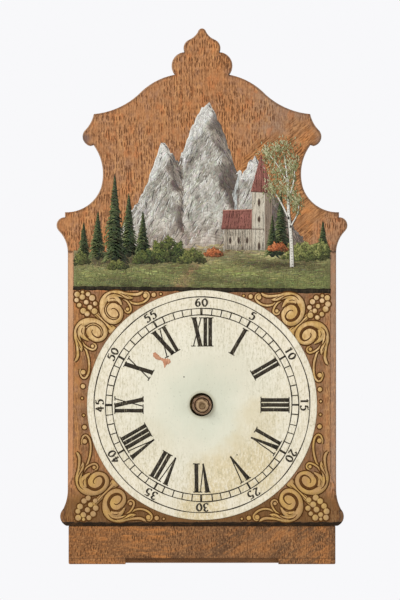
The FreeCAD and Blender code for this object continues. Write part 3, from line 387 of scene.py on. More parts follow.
def shieldWood():
    look = shieldLook
    material, spot, normal = newMaterial("grainedWood", 0.55, 0.1)
    x, _, z = split(spot)
    aside = abs(x)
    facingX, facingY, _ = split(normal)
    curl = join((x - look["curlAt"][0] * mm) / (look["curlHalf"][0] * mm), 0,
                (z - (dialZ + look["curlAt"][1] * mm)) / (look["curlHalf"][1] * mm))
    curled = ramp(vectors("LENGTH", curl) + (noise(spot, 60) - 0.5) * 0.9, 1, 0.7) * ramp(facingY, -0.6, -0.9)
    leaning = leant(spot, look["curlTurn"])

    # upright marks, and leaning ones where the grain curls on the right
    def both(group, **values):
        upright, tilted = (vars(useGroup(group, Vector=way, **values)) for way in (spot, leaning))
        return names(**{name: either(curled, upright[name], tilted[name]) for name in upright})

    threads = both(fibres, Sway=0.012, Along=480, Threads=0.42)
    fine = both(combed, Across=560, Along=235, Width=0.24, Length=0.5, Loose=0.65).Dashes
    finer = both(combed, Across=1000, Along=460, Width=0.3, Loose=0.75).Dashes
    marks = useGroup(grain, Vector=spot, Across=1500, Along=420)
    across = ramp(x, -0.075, 0.075)
    wood = layers(look, blend(across, look["left"], look["right"]), middle=ramp(aside, 0.05, 0.01, 0, 0.8))
    panel = layers(look, blend(across, look["panelLeft"], look["panelRight"]),
                   smudge=ramp(noise(spot, 95, 3, 0.6), 0.44, 0.68, 0, 0.4),
                   panelDeep=ramp(aside, 0.0895, 0.084, 0, 0.8))
    inside = ramp(aside, *(h * mm for h in look["panelHalf"])) * between(z, look["panelTop"])
    bare = ramp(inside, 0, 1, 1, 0.55)  # the panel's ground is calmer than the bare wood
    unfilled = threads.Open * bare
    low = between(z, look["lowFrom"], 0, 0.78)
    upper = ramp(low, 0, 0.78, 1, 0.2)
    waves = ramp(streaky(leaning, 430, 75), 0.48, 0.62)
    base = layers(look, blend(inside, wood, panel), glow=marks.Clouds * bare * 0.35,
                  warm=threads.Warm * bare * 0.45, cool=threads.Cool * 0.45, streak=marks.Figure * 0.22,
                  gold=curled * 0.36, wave=curled * waves * 0.6, low=low,
                  pale=threads.Pale * unfilled * upper * 0.5, deep=threads.Deep * unfilled * 0.8,
                  pore=fine * unfilled * 0.95, poreWarm=finer * 0.4,
                  # painted highlight on the chamfer that faces right
                  rightBevel=upper * ramp(facingX, 0.3, 0.5, 0, 0.3))
    # painted highlight on the left chamfer, which faces the key lamp, lighter still towards the top
    bevelLight = blend(between(z, look["bevelTop"]), look["leftBevel"], look["leftBevelTop"])
    base = blend(upper * ramp(facingX, -0.3, -0.5, 0, 0.6), base, bevelLight)
    for cx, cz, size, strength in look["wornSpots"]:
        base = layers(look, base, worn=ramp(awayFrom(spot, cx, cz), size * mm, size * 0.3 * mm, 0, strength))
    rim = useGroup(wornAndShadedEdges, Radius=0.002, Start=0.9999, Full=0.94)
    scuffs = streaky(spot, 170, 620, 3, 0.6)
    foot = between(z + (scuffs - 0.5) * 0.0022, look["footTop"])
    # edge: painted shade on the rounded edges, heavier on those that turn to the right, laid over a dark stain
    base = layers(look, base, edge=rim.Edge * ramp(rim.Right, 0, 1, 0.7, 0.95),
                  back=ramp(facingY, 0.2, 0.6, 0, 0.55), foot=foot * ramp(scuffs, 0.5, 0.68, 0.97, 0.6),
                  # painted shade in the bore of the hand hole
                  hole=ramp(awayFrom(spot), *(r * mm for r in look["holeRadius"])))
    return coat(material, base, ramp(marks.Streaks, 0, 1, 0.48, 0.66), fine + threads.Deep, -0.25)


# Plinth board. Zones are the greyer stretches, as (x, half width) in mm and strength.
plinthLook = {
    "base": (145, 101, 65), "dark": (103, 74, 51), "light": (185, 121, 67), "dash": (60, 34, 12),
    "pale": (200, 148, 96), "deep": (72, 47, 28), "zone": (112, 82, 58), "scribe": (84, 58, 38),
    "edge": (80, 58, 42), "line": -109.1, "lean": 34,
    "zones": ((4, 40, 0.42), (36, 22, 0.35), (68, 30, 0.35), (95, 8, 0.8)),
}


def plinthWood():
    look = plinthLook
    material, spot, _ = newMaterial("plinthWood", 0.5, 0.1)
    x, _, z = split(spot)
    threads = useGroup(fibres, Vector=spot, Across=1300, Along=900, Threads=0.25)
    fine = useGroup(combed, Vector=spot, Across=620, Along=330, Width=0.26, Length=0.46,
                    Front=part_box("plinth_board")[0].y).Dashes
    level = stretched(spot, (26, 26, 120))
    leaning = stretched(leant(spot, look["lean"]), (30, 30, 110))
    lean = ramp(x, -0.04, 0.02)

    def figure(scale, low, high, most):
        ways = (noise(stretched(way, (scale,) * 3), 1, 3) for way in (level, leaning))
        return ramp(either(lean, *ways), low, high, 0, most)

    cloud = figure(0.9, 0.36, 0.6, 1)
    base = layers(look, blend(cloud, look["dark"], look["base"]), light=figure(2.3, 0.48, 0.64, 0.75))
    base = layers(look, base, light=figure(5.2, 0.52, 0.66, 0.6), dark=figure(6.1, 0.48, 0.34, 0.55))
    base = layers(look, base, light=ramp(x, -0.02, -0.08, 0, 0.3))
    for middle, half, most in look["zones"]:
        base = layers(look, base, zone=ramp(abs(x - middle * mm), half * mm, 0, 0, most))
    # a fine dark line across the feet
    offFootLine = abs(z - (dialZ + look["line"] * mm))
    base = layers(look, base, pale=threads.Pale * 0.4, deep=threads.Deep * 0.45,
                  dash=fine * threads.Open * 0.85, scribe=ramp(offFootLine, 0.0006, 0.0002, 0, 0.45),
                  # edge: painted shade on the rounded edges, laid over a dark stain
                  edge=useGroup(wornAndShadedEdges, Radius=0.0009).Edge * 0.55)
    return coat(material, base, ramp(cloud, 0, 1, 0.42, 0.58), fine, -0.25)


# Dial ground. Stains are (x, height, radius, strength) in mm about the dial's centre.
dialLook = {
    "rim": (231, 221, 197), "middle": (228, 223, 202), "centre": (213, 215, 195), "stain": (212, 193, 148),
    "grime": (166, 158, 126), "speck": (112, 104, 84), "fleck": (244, 238, 222), "hole": (20, 14, 9),
    "stains": ((34, -44, 30, 0.72), (40, -8, 22, 0.42), (6, -52, 24, 0.55), (-40, -34, 26, 0.2), (0, -74, 24, 0.75)),
}


def dialPaint():
    look = dialLook
    material, spot, normal = newMaterial("dialPaint", 0.55, 0.2)
    centred = add("Mapping", {"Vector": spot, "Location": (0, 0, -dialZ)})
    x, _, z = split(centred)
    waver = (noise(join(x, 0, z), 55, 4, 0.6) - 0.5) * 0.03
    ring = awayFrom(spot)
    reach = ring + waver
    base = layers(look, blend(ramp(reach, 0.036, 0.078), look["middle"], look["rim"]),
                  centre=ramp(reach, 0.040, 0.012, 0, 0.85))
    for cx, cz, size, strength in look["stains"]:
        off = awayFrom(spot, cx, cz) + waver
        base = layers(look, base, stain=ramp(off, size * mm, size * 0.35 * mm, 0, strength))
    marks = useGroup(grain, Vector=centred, Across=1300, Along=120, Bare=0.56)
    spots = useGroup(aged, Vector=centred, Specks=620, Mottle=130)
    outer = ramp(reach, 0.03, 0.052, 0.1, 1)
    crackle = streaky(centred, 1000, 520, 2, 0.7)
    base = layers(look, base, grime=marks.Pores * (outer * 0.3), fleck=outer * ramp(crackle, 0.5, 0.6, 0, 0.46))
    base = layers(look, base, grime=outer * ramp(crackle, 0.43, 0.32, 0, 0.52))
    base = layers(look, base, grime=marks.Clouds * 0.12, speck=spots.Specks * 0.16)
    base = layers(look, base, grime=ramp(ring, 0.0808, 0.0817, 0, 0.3))
    # the darkest tone is painted shade on the disc's side walls, in the hand hole and round the rim
    base = layers(look, base, grime=ramp(ring, 0.0112, 0.0083, 0, 0.5), hole=ramp(split(normal)[1], -0.9, -0.5))
    return coat(material, base, ramp(spots.Mottle, 0, 1, 0.48, 0.66), marks.Pores + spots.Mottle, -0.12)


# Plain boards. Late wood lines run along the board's own length.
boardLook = {
    "pore": (92, 62, 38), "speck": (70, 50, 34), "edge": (96, 68, 46), "case": ((158, 114, 74), (120, 82, 52)),
    "plate": ((186, 150, 108), (160, 122, 82)),
    "turns": {"x": (0, math.pi / 2, 0), "y": (math.pi / 2, 0, 0), "z": (0, 0, 0)},
}


def plainBoard(name, tones, axis, across, along):
    look = {**boardLook, "dark": tones[1]}
    material, spot, _ = newMaterial(name, 0.65, 0.2)
    turned = stretched(spot, (1, 1, 1), look["turns"][axis])
    marks = useGroup(grain, Vector=turned, Across=across, Along=along, Bare=0.58)
    lines = streaky(turned, 230, 5, 3, 0.6)
    base = layers(look, blend(ramp(lines, 0.35, 0.66), *tones), pore=marks.Pores * 0.45, dark=marks.Clouds * 0.4,
                  speck=useGroup(aged, Vector=turned, Specks=420).Specks * 0.5,
                  # edge: painted shade on the rounded edges, laid over a dark stain
                  edge=useGroup(wornAndShadedEdges, Radius=0.0009).Edge * 0.4)
    return coat(material, base, ramp(lines, 0.3, 0.7, 0.55, 0.75), lines + marks.Pores, -0.2)


# Metals: a clean tone that dulls where it is mottled and brightens on rubbed edges. Each slot, and each node with
# a finish of its own, has a name, three tones, roughness, mottle, brush and the rings painted round the hand arbor.
# Rings are (radius, half width, strength, tone) in mm and stand off the arbor's axis by ringShift. The dark rings
# are painted shade in the gaps and grooves between pipes and arbor, the pale one a painted highlight on the minute
# pipe's end.
gapShade, grooveShade, rimHighlight = (14, 10, 7), (74, 50, 32), (196, 170, 134)
wheelTones = (202, 168, 104), (160, 126, 74), (222, 194, 134), 0.36, 160, 0.3
metals = {
    "wheel_brass": ("wheelBrass", *wheelTones),
    "steel": ("drawnSteel", (150, 148, 144), (112, 108, 102), (190, 188, 184), 0.34, 220, 0.3),
    "iron": ("darkIron", (86, 80, 74), (62, 54, 48), (120, 114, 106), 0.5, 300),
    "great_arbor": ("brownNose", (134, 112, 82), (88, 68, 46), (182, 158, 124), 0.46, 600, 0.5,
                    ((1.9, 0.7, 0.4, grooveShade),)),
    "minute_pipe": ("minuteBrass", (158, 130, 100), (112, 86, 60), (200, 176, 140), 0.42, 520, 0.5,
                    ((3.4, 0.8, 0.5, rimHighlight), (2.1, 0.5, 0.55, grooveShade), (4.8, 0.6, 0.65, grooveShade))),
    "hour_pipe": ("hourBrass", (158, 130, 106), (108, 82, 62), (196, 172, 140), 0.42, 420, 0.5,
                  ((4.9, 0.5, 0.5, grooveShade), (7.2, 0.5, 0.7, gapShade))),
    # the hour wheel's middle is painted dark, as the shade seen through the hand hole
    "hour_wheel": ("oilyBrass", *wheelTones, ((0, 13, 1, gapShade),)),
}
ringShift = (0.25, -0.45)


def oldMetal(name, clean, dull, bright, shine, mottle, brush=0, rings=()):
    look = {"speck": (58, 44, 30), "bright": bright}
    material, spot, _ = newMaterial(name, shine, 0.5, 1)
    spots = useGroup(aged, Vector=spot, Specks=1500, Mottle=mottle)
    base = layers(look, blend(spots.Mottle, clean, dull), speck=spots.Specks * 0.6,
                  bright=useGroup(wornAndShadedEdges, Radius=0.0004).Edge * 0.6)
    if rings:
        reach = awayFrom(spot, *ringShift) + (noise(spot, 260) - 0.5) * 0.0036
    # rings of painted shade and painted highlight round the hand arbor
    for radius, half, strength, mark in rings:
        base = blend(ramp(abs(reach - radius * mm), half * mm, half * 0.45 * mm, 0, strength), base, mark)
    turned = noise(stretched(spot, (700, 6000, 700)), 1)
    return coat(material, base, ramp(spots.Mottle, 0, 1, shine - 0.08, shine + 0.16),
                spots.Mottle + turned * brush, 0.12)


# Painted strokes: brush-dragged colour, worn thin where the pores show through
def strokePaint(name, colour, worn, share, low=None, roughness=0.55, patch=None, crack=None):
    material, spot, _ = newMaterial(name, roughness, 0.1)
    mottle = useGroup(aged, Vector=spot, Mottle=260).Mottle
    pores = useGroup(grain, Vector=spot, Across=1200, Along=190, Bare=0.55).Pores
    base = colour
    if low:  # a second colour towards the foot of the panel
        base = blend(between(split(spot)[2], (30, -50)), base, low)
    if patch:  # another colour in soft patches
        base = blend(ramp(noise(spot, 130), 0.42, 0.64, 0, 0.8), base, patch)
    base = blend(pores * share, blend(mottle * share, base, worn), worn)
    if crack:  # the ground shows in fine upright cracks
        base = blend(ramp(streaky(spot, 1500, 260, 1), 0.62, 0.7, 0, 0.6), base, crack)
    return coat(material, base, ramp(mottle, 0, 1, roughness - 0.1, roughness + 0.12), mottle, 0.15, 0.1 * mm)


def picturePaint():
    material, spot, _ = newMaterial("picturePaint", 0.5, 0.2)
    mottle = useGroup(aged, Vector=spot, Mottle=300).Mottle
    pores = useGroup(grain, Vector=spot, Across=1150, Along=175, Bare=0.53).Pores
    base = blend(mottle * 0.16, add("VertexColor", layer_name="paint"), (112, 92, 62))
    base = blend(pores * 0.14, base, (92, 66, 42))
    return coat(material, base, ramp(mottle, 0, 1, 0.42, 0.6), mottle + pores, 0.2, 0.1 * mm)


# Every CAD node takes its own finish, or that of its slot in the record.
def dressNodes():
    finishes = {name: oldMetal(*values) for name, values in metals.items()}
    finishes.update(grained_wood=shieldWood(), dial_paint=dialPaint(), plinth_wood=plinthWood(),
                    plate_wood=plainBoard("plateWood", boardLook["plate"], "z", 1500, 420))
    for axis in boardLook["turns"]:
        finishes["case_wood" + axis] = plainBoard("caseWood_" + axis, boardLook["case"], axis, 900, 60)
    for part in frame["record"]["subparts"]:
        name, slot = part["node"], part["material_slot"]
        if slot == "case_wood":
            low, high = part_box(name)
            slot += "xyz"[int(np.argmax(high - low))]
        for held in frame["nodes"][name].material_slots:
            held.material = finishes[name if name in finishes else slot]


dressNodes()
print("CAD nodes dressed")

# Thin paint. A stroke is the profile (left foot, left top, right top, right foot) carried along
# a path in mm about the dial's centre: edge = path +- normal * width / 2, top at lift, foot at -sink.
sink = 0.05


def onFront(x, z, height, front):
    return np.stack([x * mm, front - height * mm, dialZ + z * mm], 3).reshape(-1, 3)


def ribbons(paths, widths, lift, front=boardFront, closed=False, colours=None):
    paths = np.asarray(paths, float)
    count, steps = paths.shape[:2]
    ahead = np.roll(paths, -1, 1) - np.roll(paths, 1, 1) if closed else np.gradient(paths, axis=1)
    ahead = ahead / np.maximum(np.linalg.norm(ahead, axis=2, keepdims=True), 1e-9)
    half = np.broadcast_to(np.asarray(widths, float), (count, steps)) / 2
    side = np.stack([-ahead[..., 1], ahead[..., 0]], 2) * half[..., None]
    ring = paths[:, :, None] + side[:, :, None] * np.array([-1, -1, 1, 1])[:, None]
    top = np.broadcast_to(np.asarray(lift, float).reshape(-1, 1), (count, steps))
    foot = np.full_like(top, -sink)
    index = np.arange(count * steps * 4).reshape(count, steps, 4)
    here, nextOne = (index, np.roll(index, -1, 1)) if closed else (index[:, :-1], index[:, 1:])
    quads = np.stack([here, nextOne, np.roll(nextOne, -1, 2), np.roll(here, -1, 2)], 3)
    faces = [quads.reshape(-1, 4)]
    # each stroke has a cell of its own on the map: u along it, v around it
    k, j = np.meshgrid(np.arange(quads.shape[1]), np.arange(4), indexing="ij")
    u = 0.08 + 0.84 * np.stack([k, k + 1, k + 1, k], 2) / quads.shape[1]
    v = 0.05 + 0.9 * np.stack([j, j, j + 1, j + 1], 2) / 4
    cells = [np.broadcast_to(np.stack([u, v], 3), (count, *u.shape, 2)).reshape(-1, 4, 2)]
    owner = [np.repeat(np.arange(count), quads.shape[1] * 4)]
    if not closed:
        square = np.array([(0, 0.1), (0, 0.9), (0.06, 0.9), (0.06, 0.1)])
        for rim, shift in ((index[:, 0], 0.01), (index[:, -1, ::-1], 0.93)):
            faces.append(rim)
            cells.append(np.broadcast_to(square + (shift, 0), (count, 4, 2)))
            owner.append(np.arange(count))
    points = onFront(ring[..., 0], ring[..., 1], np.stack([foot, top, top, foot], 2), front)
    made = {"points": points, "count": count, "faces": np.concatenate(faces), "cells": np.concatenate(cells),
            "owner": np.concatenate(owner)}
    if colours is not None:
        colours = np.asarray(colours, float)
        if colours.ndim == 2:
            colours = colours[:, None]
        made["shades"] = np.repeat(np.broadcast_to(colours, (count, steps, 3))[:, :, None], 4, 2).reshape(-1, 3)
    return made


# Beads: rings r = R cos(b), height = lift + rise sin(b) for b from 0 to 70 degrees, on a sunk foot
def beads(centres, radii, lift, rise, front=boardFront, sides=14):
    radii = radii[:, None, None]
    b = np.radians([0, 0, 25, 48, 70])
    size = radii * np.cos(b)[:, None]
    turn = np.linspace(0, 2 * np.pi, sides, endpoint=False)
    x = centres[:, 0, None, None] + size * np.cos(turn)
    z = centres[:, 1, None, None] + size * np.sin(turn)
    height = lift + rise * radii * np.sin(b)[:, None] + 0 * turn
    height[:, 0] = -sink
    index = np.arange(x.size).reshape(x.shape)
    near = np.roll(index, -1, 2)
    quads = np.stack([index[:, :-1], near[:, :-1], near[:, 1:], index[:, 1:]], 3).reshape(-1, 4)
    return {"points": onFront(x, z, height, front), "faces": quads,
            "lids": np.concatenate([index[:, -1], index[:, 0, ::-1]])}


# one mesh of all the parts; strokes with shades also get a colour layer and a cell each on the map
def makePiece(name, parts, material):
    shift = np.cumsum([0] + [len(p["points"]) for p in parts])
    points = np.concatenate([p["points"] for p in parts])
    sets = [p[kind] + s for kind in ("faces", "lids") for p, s in zip(parts, shift) if kind in p]
    corners = np.concatenate([f.ravel() for f in sets])
    sides = np.concatenate([np.full(len(f), f.shape[1]) for f in sets])
    mesh = bpy.data.meshes.new(name)
    mesh.vertices.add(len(points))
    mesh.vertices.foreach_set("co", points.astype(np.float32).ravel())
    mesh.loops.add(len(corners))
    mesh.loops.foreach_set("vertex_index", corners.astype(np.int32))
    mesh.polygons.add(len(sides))
    mesh.polygons.foreach_set("loop_start", (np.cumsum(sides) - sides).astype(np.int32))
    mesh.update(calc_edges=True)
    if "shades" in parts[0]:
        shades = np.concatenate([p["shades"] for p in parts])
        layer = mesh.color_attributes.new("paint", "FLOAT_COLOR", "POINT")
        layer.data.foreach_set("color", np.c_[shades, np.ones(len(shades))].astype(np.float32).ravel())
        first = np.cumsum([0] + [p["count"] for p in parts])
        owner = np.concatenate([p["owner"] + s for p, s in zip(parts, first)])
        row = math.ceil(math.sqrt(first[-1]))
        cells = np.concatenate([p["cells"] for p in parts])
        spread = (cells + np.stack([owner % row, owner // row], 1)[:, None]) / row
        mesh.uv_layers.new(name="OFBake").uv.foreach_set("vector", spread.astype(np.float32).ravel())
    piece = show(name, mesh)
    mesh.materials.append(material)
    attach(piece, "case")
    print(name, len(sides), "faces")


# A smooth line through given points: each span is the Catmull-Rom cubic of its four neighbours.
# Columns past the first two, such as a width, are carried along.
def smoothLine(points, count):
    p = np.asarray(points, float)
    padded = np.vstack([2 * p[0] - p[1], p, 2 * p[-1] - p[-2]])
    t = np.linspace(0, len(p) - 1 - 1e-9, count)
    k = t.astype(int)
    f = (t - k)[:, None]
    a, b, c, d = (padded[k + i] for i in range(4))
    return b + 0.5 * f * (c - a + f * (2 * a - 5 * b + 4 * c - d + f * (3 * (b - c) + d - a)))


# (x, y) of a mark set upright at 12, turned clockwise to its place on the dial
def onDial(marks, degrees):
    turn = math.radians(degrees)
    x, y = marks[..., 0], marks[..., 1]
    return np.stack([np.cos(turn) * x + np.sin(turn) * y, np.cos(turn) * y - np.sin(turn) * x], -1)


# strokes that cross lie one on the other, each a few microns higher
def stagger(count, rounds=8, step=0.004):
    return step * (np.arange(count) % rounds)


blackPaint = strokePaint("blackPaint", (37, 33, 27), (88, 78, 62), 0.3, crack=(150, 141, 118))

# Minute track: circles r = const, ticks from the inner to the outer circle
track = {
    "outerRing": 76.7, "outer": 68.7, "inner": 63.9, "line": 0.74, "fiveLine": 1.5, "overrun": 0.35,
    "lift": 0.04, "tickLift": 0.046,
}


def dialTrack():
    turn = np.linspace(0, 2 * np.pi, 240, endpoint=False)
    rings = np.array([track["outerRing"], track["outer"], track["inner"]])[:, None]
    hand = 0.12 * np.sin(5 * turn + rings) + 0.08 * np.sin(13 * turn + 2 * rings)  # a hand-led compass line
    circles = np.stack([np.sin(turn) * (rings + hand), np.cos(turn) * (rings + hand)], 2)
    width = track["line"] * (1 + 0.18 * np.sin(9 * turn + rings) + 0.1 * np.sin(23 * turn))
    minutes = np.arange(60)
    five = minutes % 5 == 0
    over = np.where(five, track["overrun"], 0)
    ends = np.stack([track["inner"] - over, track["outer"] + over], 1)
    angle = np.radians(6 * minutes + rng.normal(0, 0.25, 60))[:, None]
    ticks = np.stack([np.sin(angle) * ends, np.cos(angle) * ends], 2)
    thick = np.where(five, track["fiveLine"], track["line"])[:, None] * rng.uniform(0.85, 1.15, (60, 1))
    makePiece("minute_track", [ribbons(circles, width, track["lift"], dialFront, closed=True),
                               ribbons(ticks, thick, track["tickLift"], dialFront)], blackPaint)


# Roman hours: letters are strokes (from, to, width there, width here) in mm, y up from the inner end
roman = {
    "inner": 41.6, "tall": 20.6, "stem": 2.75, "heavy": 3.15, "thin": 0.8, "serif": 0.72, "serifIn": 0.3,
    "lift": 0.05, "pitch": {"I": 3.45, "V": 7.9, "X": 8.1},
    "hours": ("XII", "I", "II", "III", "IV", "V", "VI", "VII", "VIII", "IX", "X", "XI"),
}


def romanLetter(letter):
    top, stem, heavy, thin, serif = (roman[k] for k in ("tall", "stem", "heavy", "thin", "serif"))
    low, high = roman["serifIn"], top - roman["serifIn"]
    strokes, serifs = {
        "I": ([((1.72, 0), (1.72, top), stem, stem)], ((-0.6, 4.05, low), (-0.6, 4.05, high))),
        "V": ([((1.7, top), (4.9, 0.2), heavy, 1.2), ((6.9, top), (4.7, 0), thin, thin)],
              ((-0.5, 4, high), (5.3, 8.5, high))),
        "X": ([((1.8, top), (6.4, 0), heavy, heavy), ((1.3, 0), (6.9, top), thin, thin)],
              ((-0.4, 4.1, high), (5.4, 8.5, high), (4.2, 8.6, low), (-0.3, 2.9, low))),
    }[letter]
    return strokes + [((left, y), (right, y), serif, serif) for left, right, y in serifs]


def hourNumerals():
    paths, widths = [], []
    share = np.linspace(0, 1, 5)
    waist = 1 - 0.07 * np.sin(np.pi * share)  # strokes narrow a little in the middle
    for hour, letters in enumerate(roman["hours"]):
        x = -sum(roman["pitch"][c] for c in letters) / 2
        for c in letters:
            for start, end, first, last in romanLetter(c):
                line = np.array(start) * (1 - share[:, None]) + np.array(end) * share[:, None] + (x, roman["inner"])
                paths.append(onDial(line + rng.normal(0, 0.05, (5, 2)), 30 * hour))
                widths.append((first + (last - first) * share) * waist * rng.uniform(0.94, 1.06))
            x += roman["pitch"][c]
    strokes = ribbons(paths, widths, roman["lift"] + stagger(len(paths)), dialFront)
    makePiece("hour_numerals", [strokes], blackPaint)


# Minute figures: pen strokes through a few points on a box 1 wide and 1.42 high.
# A broad nib held at an angle gives width = thin + (thick - thin) * |sin(direction - nib)|.
figures = {
    "base": 70, "unit": 3.95, "pitch": 1.22, "thin": 0.58, "thick": 1.42, "nib": math.radians(12), "lift": 0.05,
    "0": [[(0.55, 1.4), (0.16, 1.1), (0.1, 0.55), (0.45, 0.03), (0.84, 0.35), (0.9, 0.95), (0.55, 1.4)]],
    "1": [[(0.2, 1.16), (0.42, 1.28), (0.55, 1.42)], [(0.55, 1.42), (0.54, 0.7), (0.55, 0)]],
    "2": [[(0.14, 1.06), (0.3, 1.36), (0.68, 1.36), (0.82, 1.02), (0.5, 0.5), (0.08, 0.06)],
          [(0.08, 0.06), (0.4, 0.12), (0.7, 0.02), (0.94, 0.14)]],
    "3": [[(0.14, 1.2), (0.4, 1.42), (0.78, 1.22), (0.66, 0.86), (0.4, 0.76)],
          [(0.4, 0.76), (0.8, 0.66), (0.84, 0.24), (0.46, 0), (0.1, 0.2)]],
    "4": [[(0.62, 1.42), (0.34, 0.9), (0.04, 0.46)], [(0.04, 0.46), (0.5, 0.44), (1, 0.5)],
          [(0.66, 1.1), (0.64, 0.5), (0.64, -0.04)]],
    "5": [[(0.9, 1.42), (0.6, 1.34), (0.32, 1.38)], [(0.32, 1.38), (0.26, 1.1), (0.22, 0.82)],
          [(0.22, 0.82), (0.56, 0.92), (0.86, 0.66), (0.78, 0.18), (0.4, 0), (0.1, 0.16)]],
    "6": [[(0.82, 1.34), (0.5, 1.32), (0.18, 0.9), (0.12, 0.4), (0.44, 0.02), (0.82, 0.28), (0.74, 0.74),
           (0.42, 0.82), (0.16, 0.52)]],
}


def minuteFigures():
    paths, widths = [], []
    for place in range(12):
        text = str(5 * place or 60)
        for n, digit in enumerate(text):
            for points in figures[digit]:
                line = smoothLine(points, 22) + ((n - len(text) / 2) * figures["pitch"], 0)
                ahead = np.gradient(line, axis=0)
                lean = np.abs(np.sin(np.arctan2(ahead[:, 1], ahead[:, 0]) - figures["nib"]))
                widths.append(figures["thin"] + (figures["thick"] - figures["thin"]) * lean)
                paths.append(onDial(line * figures["unit"] + (0, figures["base"]), 30 * place))
    strokes = ribbons(paths, widths, figures["lift"] + stagger(len(paths)), dialFront)
    makePiece("minute_figures", [strokes], blackPaint)


# Where the dial's paint has flaked: (x, height, width) along two short runs; stray specks are (x, height, radius)
flake = {
    "runs": (
        ((-34, 37.2, 1.6), (-33, 35.2, 3.6), (-30.9, 33.4, 2.6), (-28.6, 32.5, 1.9), (-26, 31.2, 4),
         (-23.8, 30.8, 4.2), (-22.3, 30.4, 1.4)),
        ((-26.2, 31, 2.6), (-26.3, 29, 2), (-26.6, 26.4, 0.6))),
    "specks": ((-12.8, 19.9, 0.5), (24.9, -35.5, 0.45)), "lift": 0.02, "speckLift": 0.03, "speckRise": 0.1,
}


def dialFlakes():
    lines = np.stack([smoothLine(run, 26) for run in flake["runs"]])
    ragged = lines[..., 2] * (1 + 0.16 * np.sin(np.arange(26) * 2.1) + 0.1 * rng.normal(size=lines.shape[:2]))
    chalk = strokePaint("flakedChalk", (188, 130, 98), (214, 168, 136), 0.55, roughness=0.75)
    strokes = ribbons(lines[..., :2], ragged, flake["lift"] + stagger(2), dialFront)
    makePiece("dial_flakes", [strokes], chalk)
    x, z, radii = np.transpose(flake["specks"])
    specks = beads(np.c_[x, z], radii, flake["speckLift"], flake["speckRise"], dialFront, 8)
    makePiece("dial_specks", [specks], blackPaint)


dialTrack()
hourNumerals()
minuteFigures()
dialFlakes()
print("dial painted")

linePaint = strokePaint("linePaint", (26, 22, 14), (80, 70, 52), 0.3)

# Black line over the dial panel: it falls a little to the right and its edges waver
panelLine = {"left": (-91.7, 83.1), "right": (91.5, 80.9), "width": (2.9, 3.4), "lift": 0.06}


def blackLine():
    share = np.linspace(0, 1, 160)[:, None]
    line = np.array(panelLine["left"]) * (1 - share) + np.array(panelLine["right"]) * share
    line[:, 1] += 0.12 * np.sin(line[:, 0] / 4.1) + 0.08 * np.sin(line[:, 0] / 1.7)
    width = panelLine["width"][0] + (panelLine["width"][1] - panelLine["width"][0]) * share[:, 0]
    width = width * (1 + 0.07 * np.sin(line[:, 0] / 2.3) + 0.05 * np.sin(line[:, 0] / 0.9))
    makePiece("panel_line", [ribbons(line[None], width, panelLine["lift"])], linePaint)


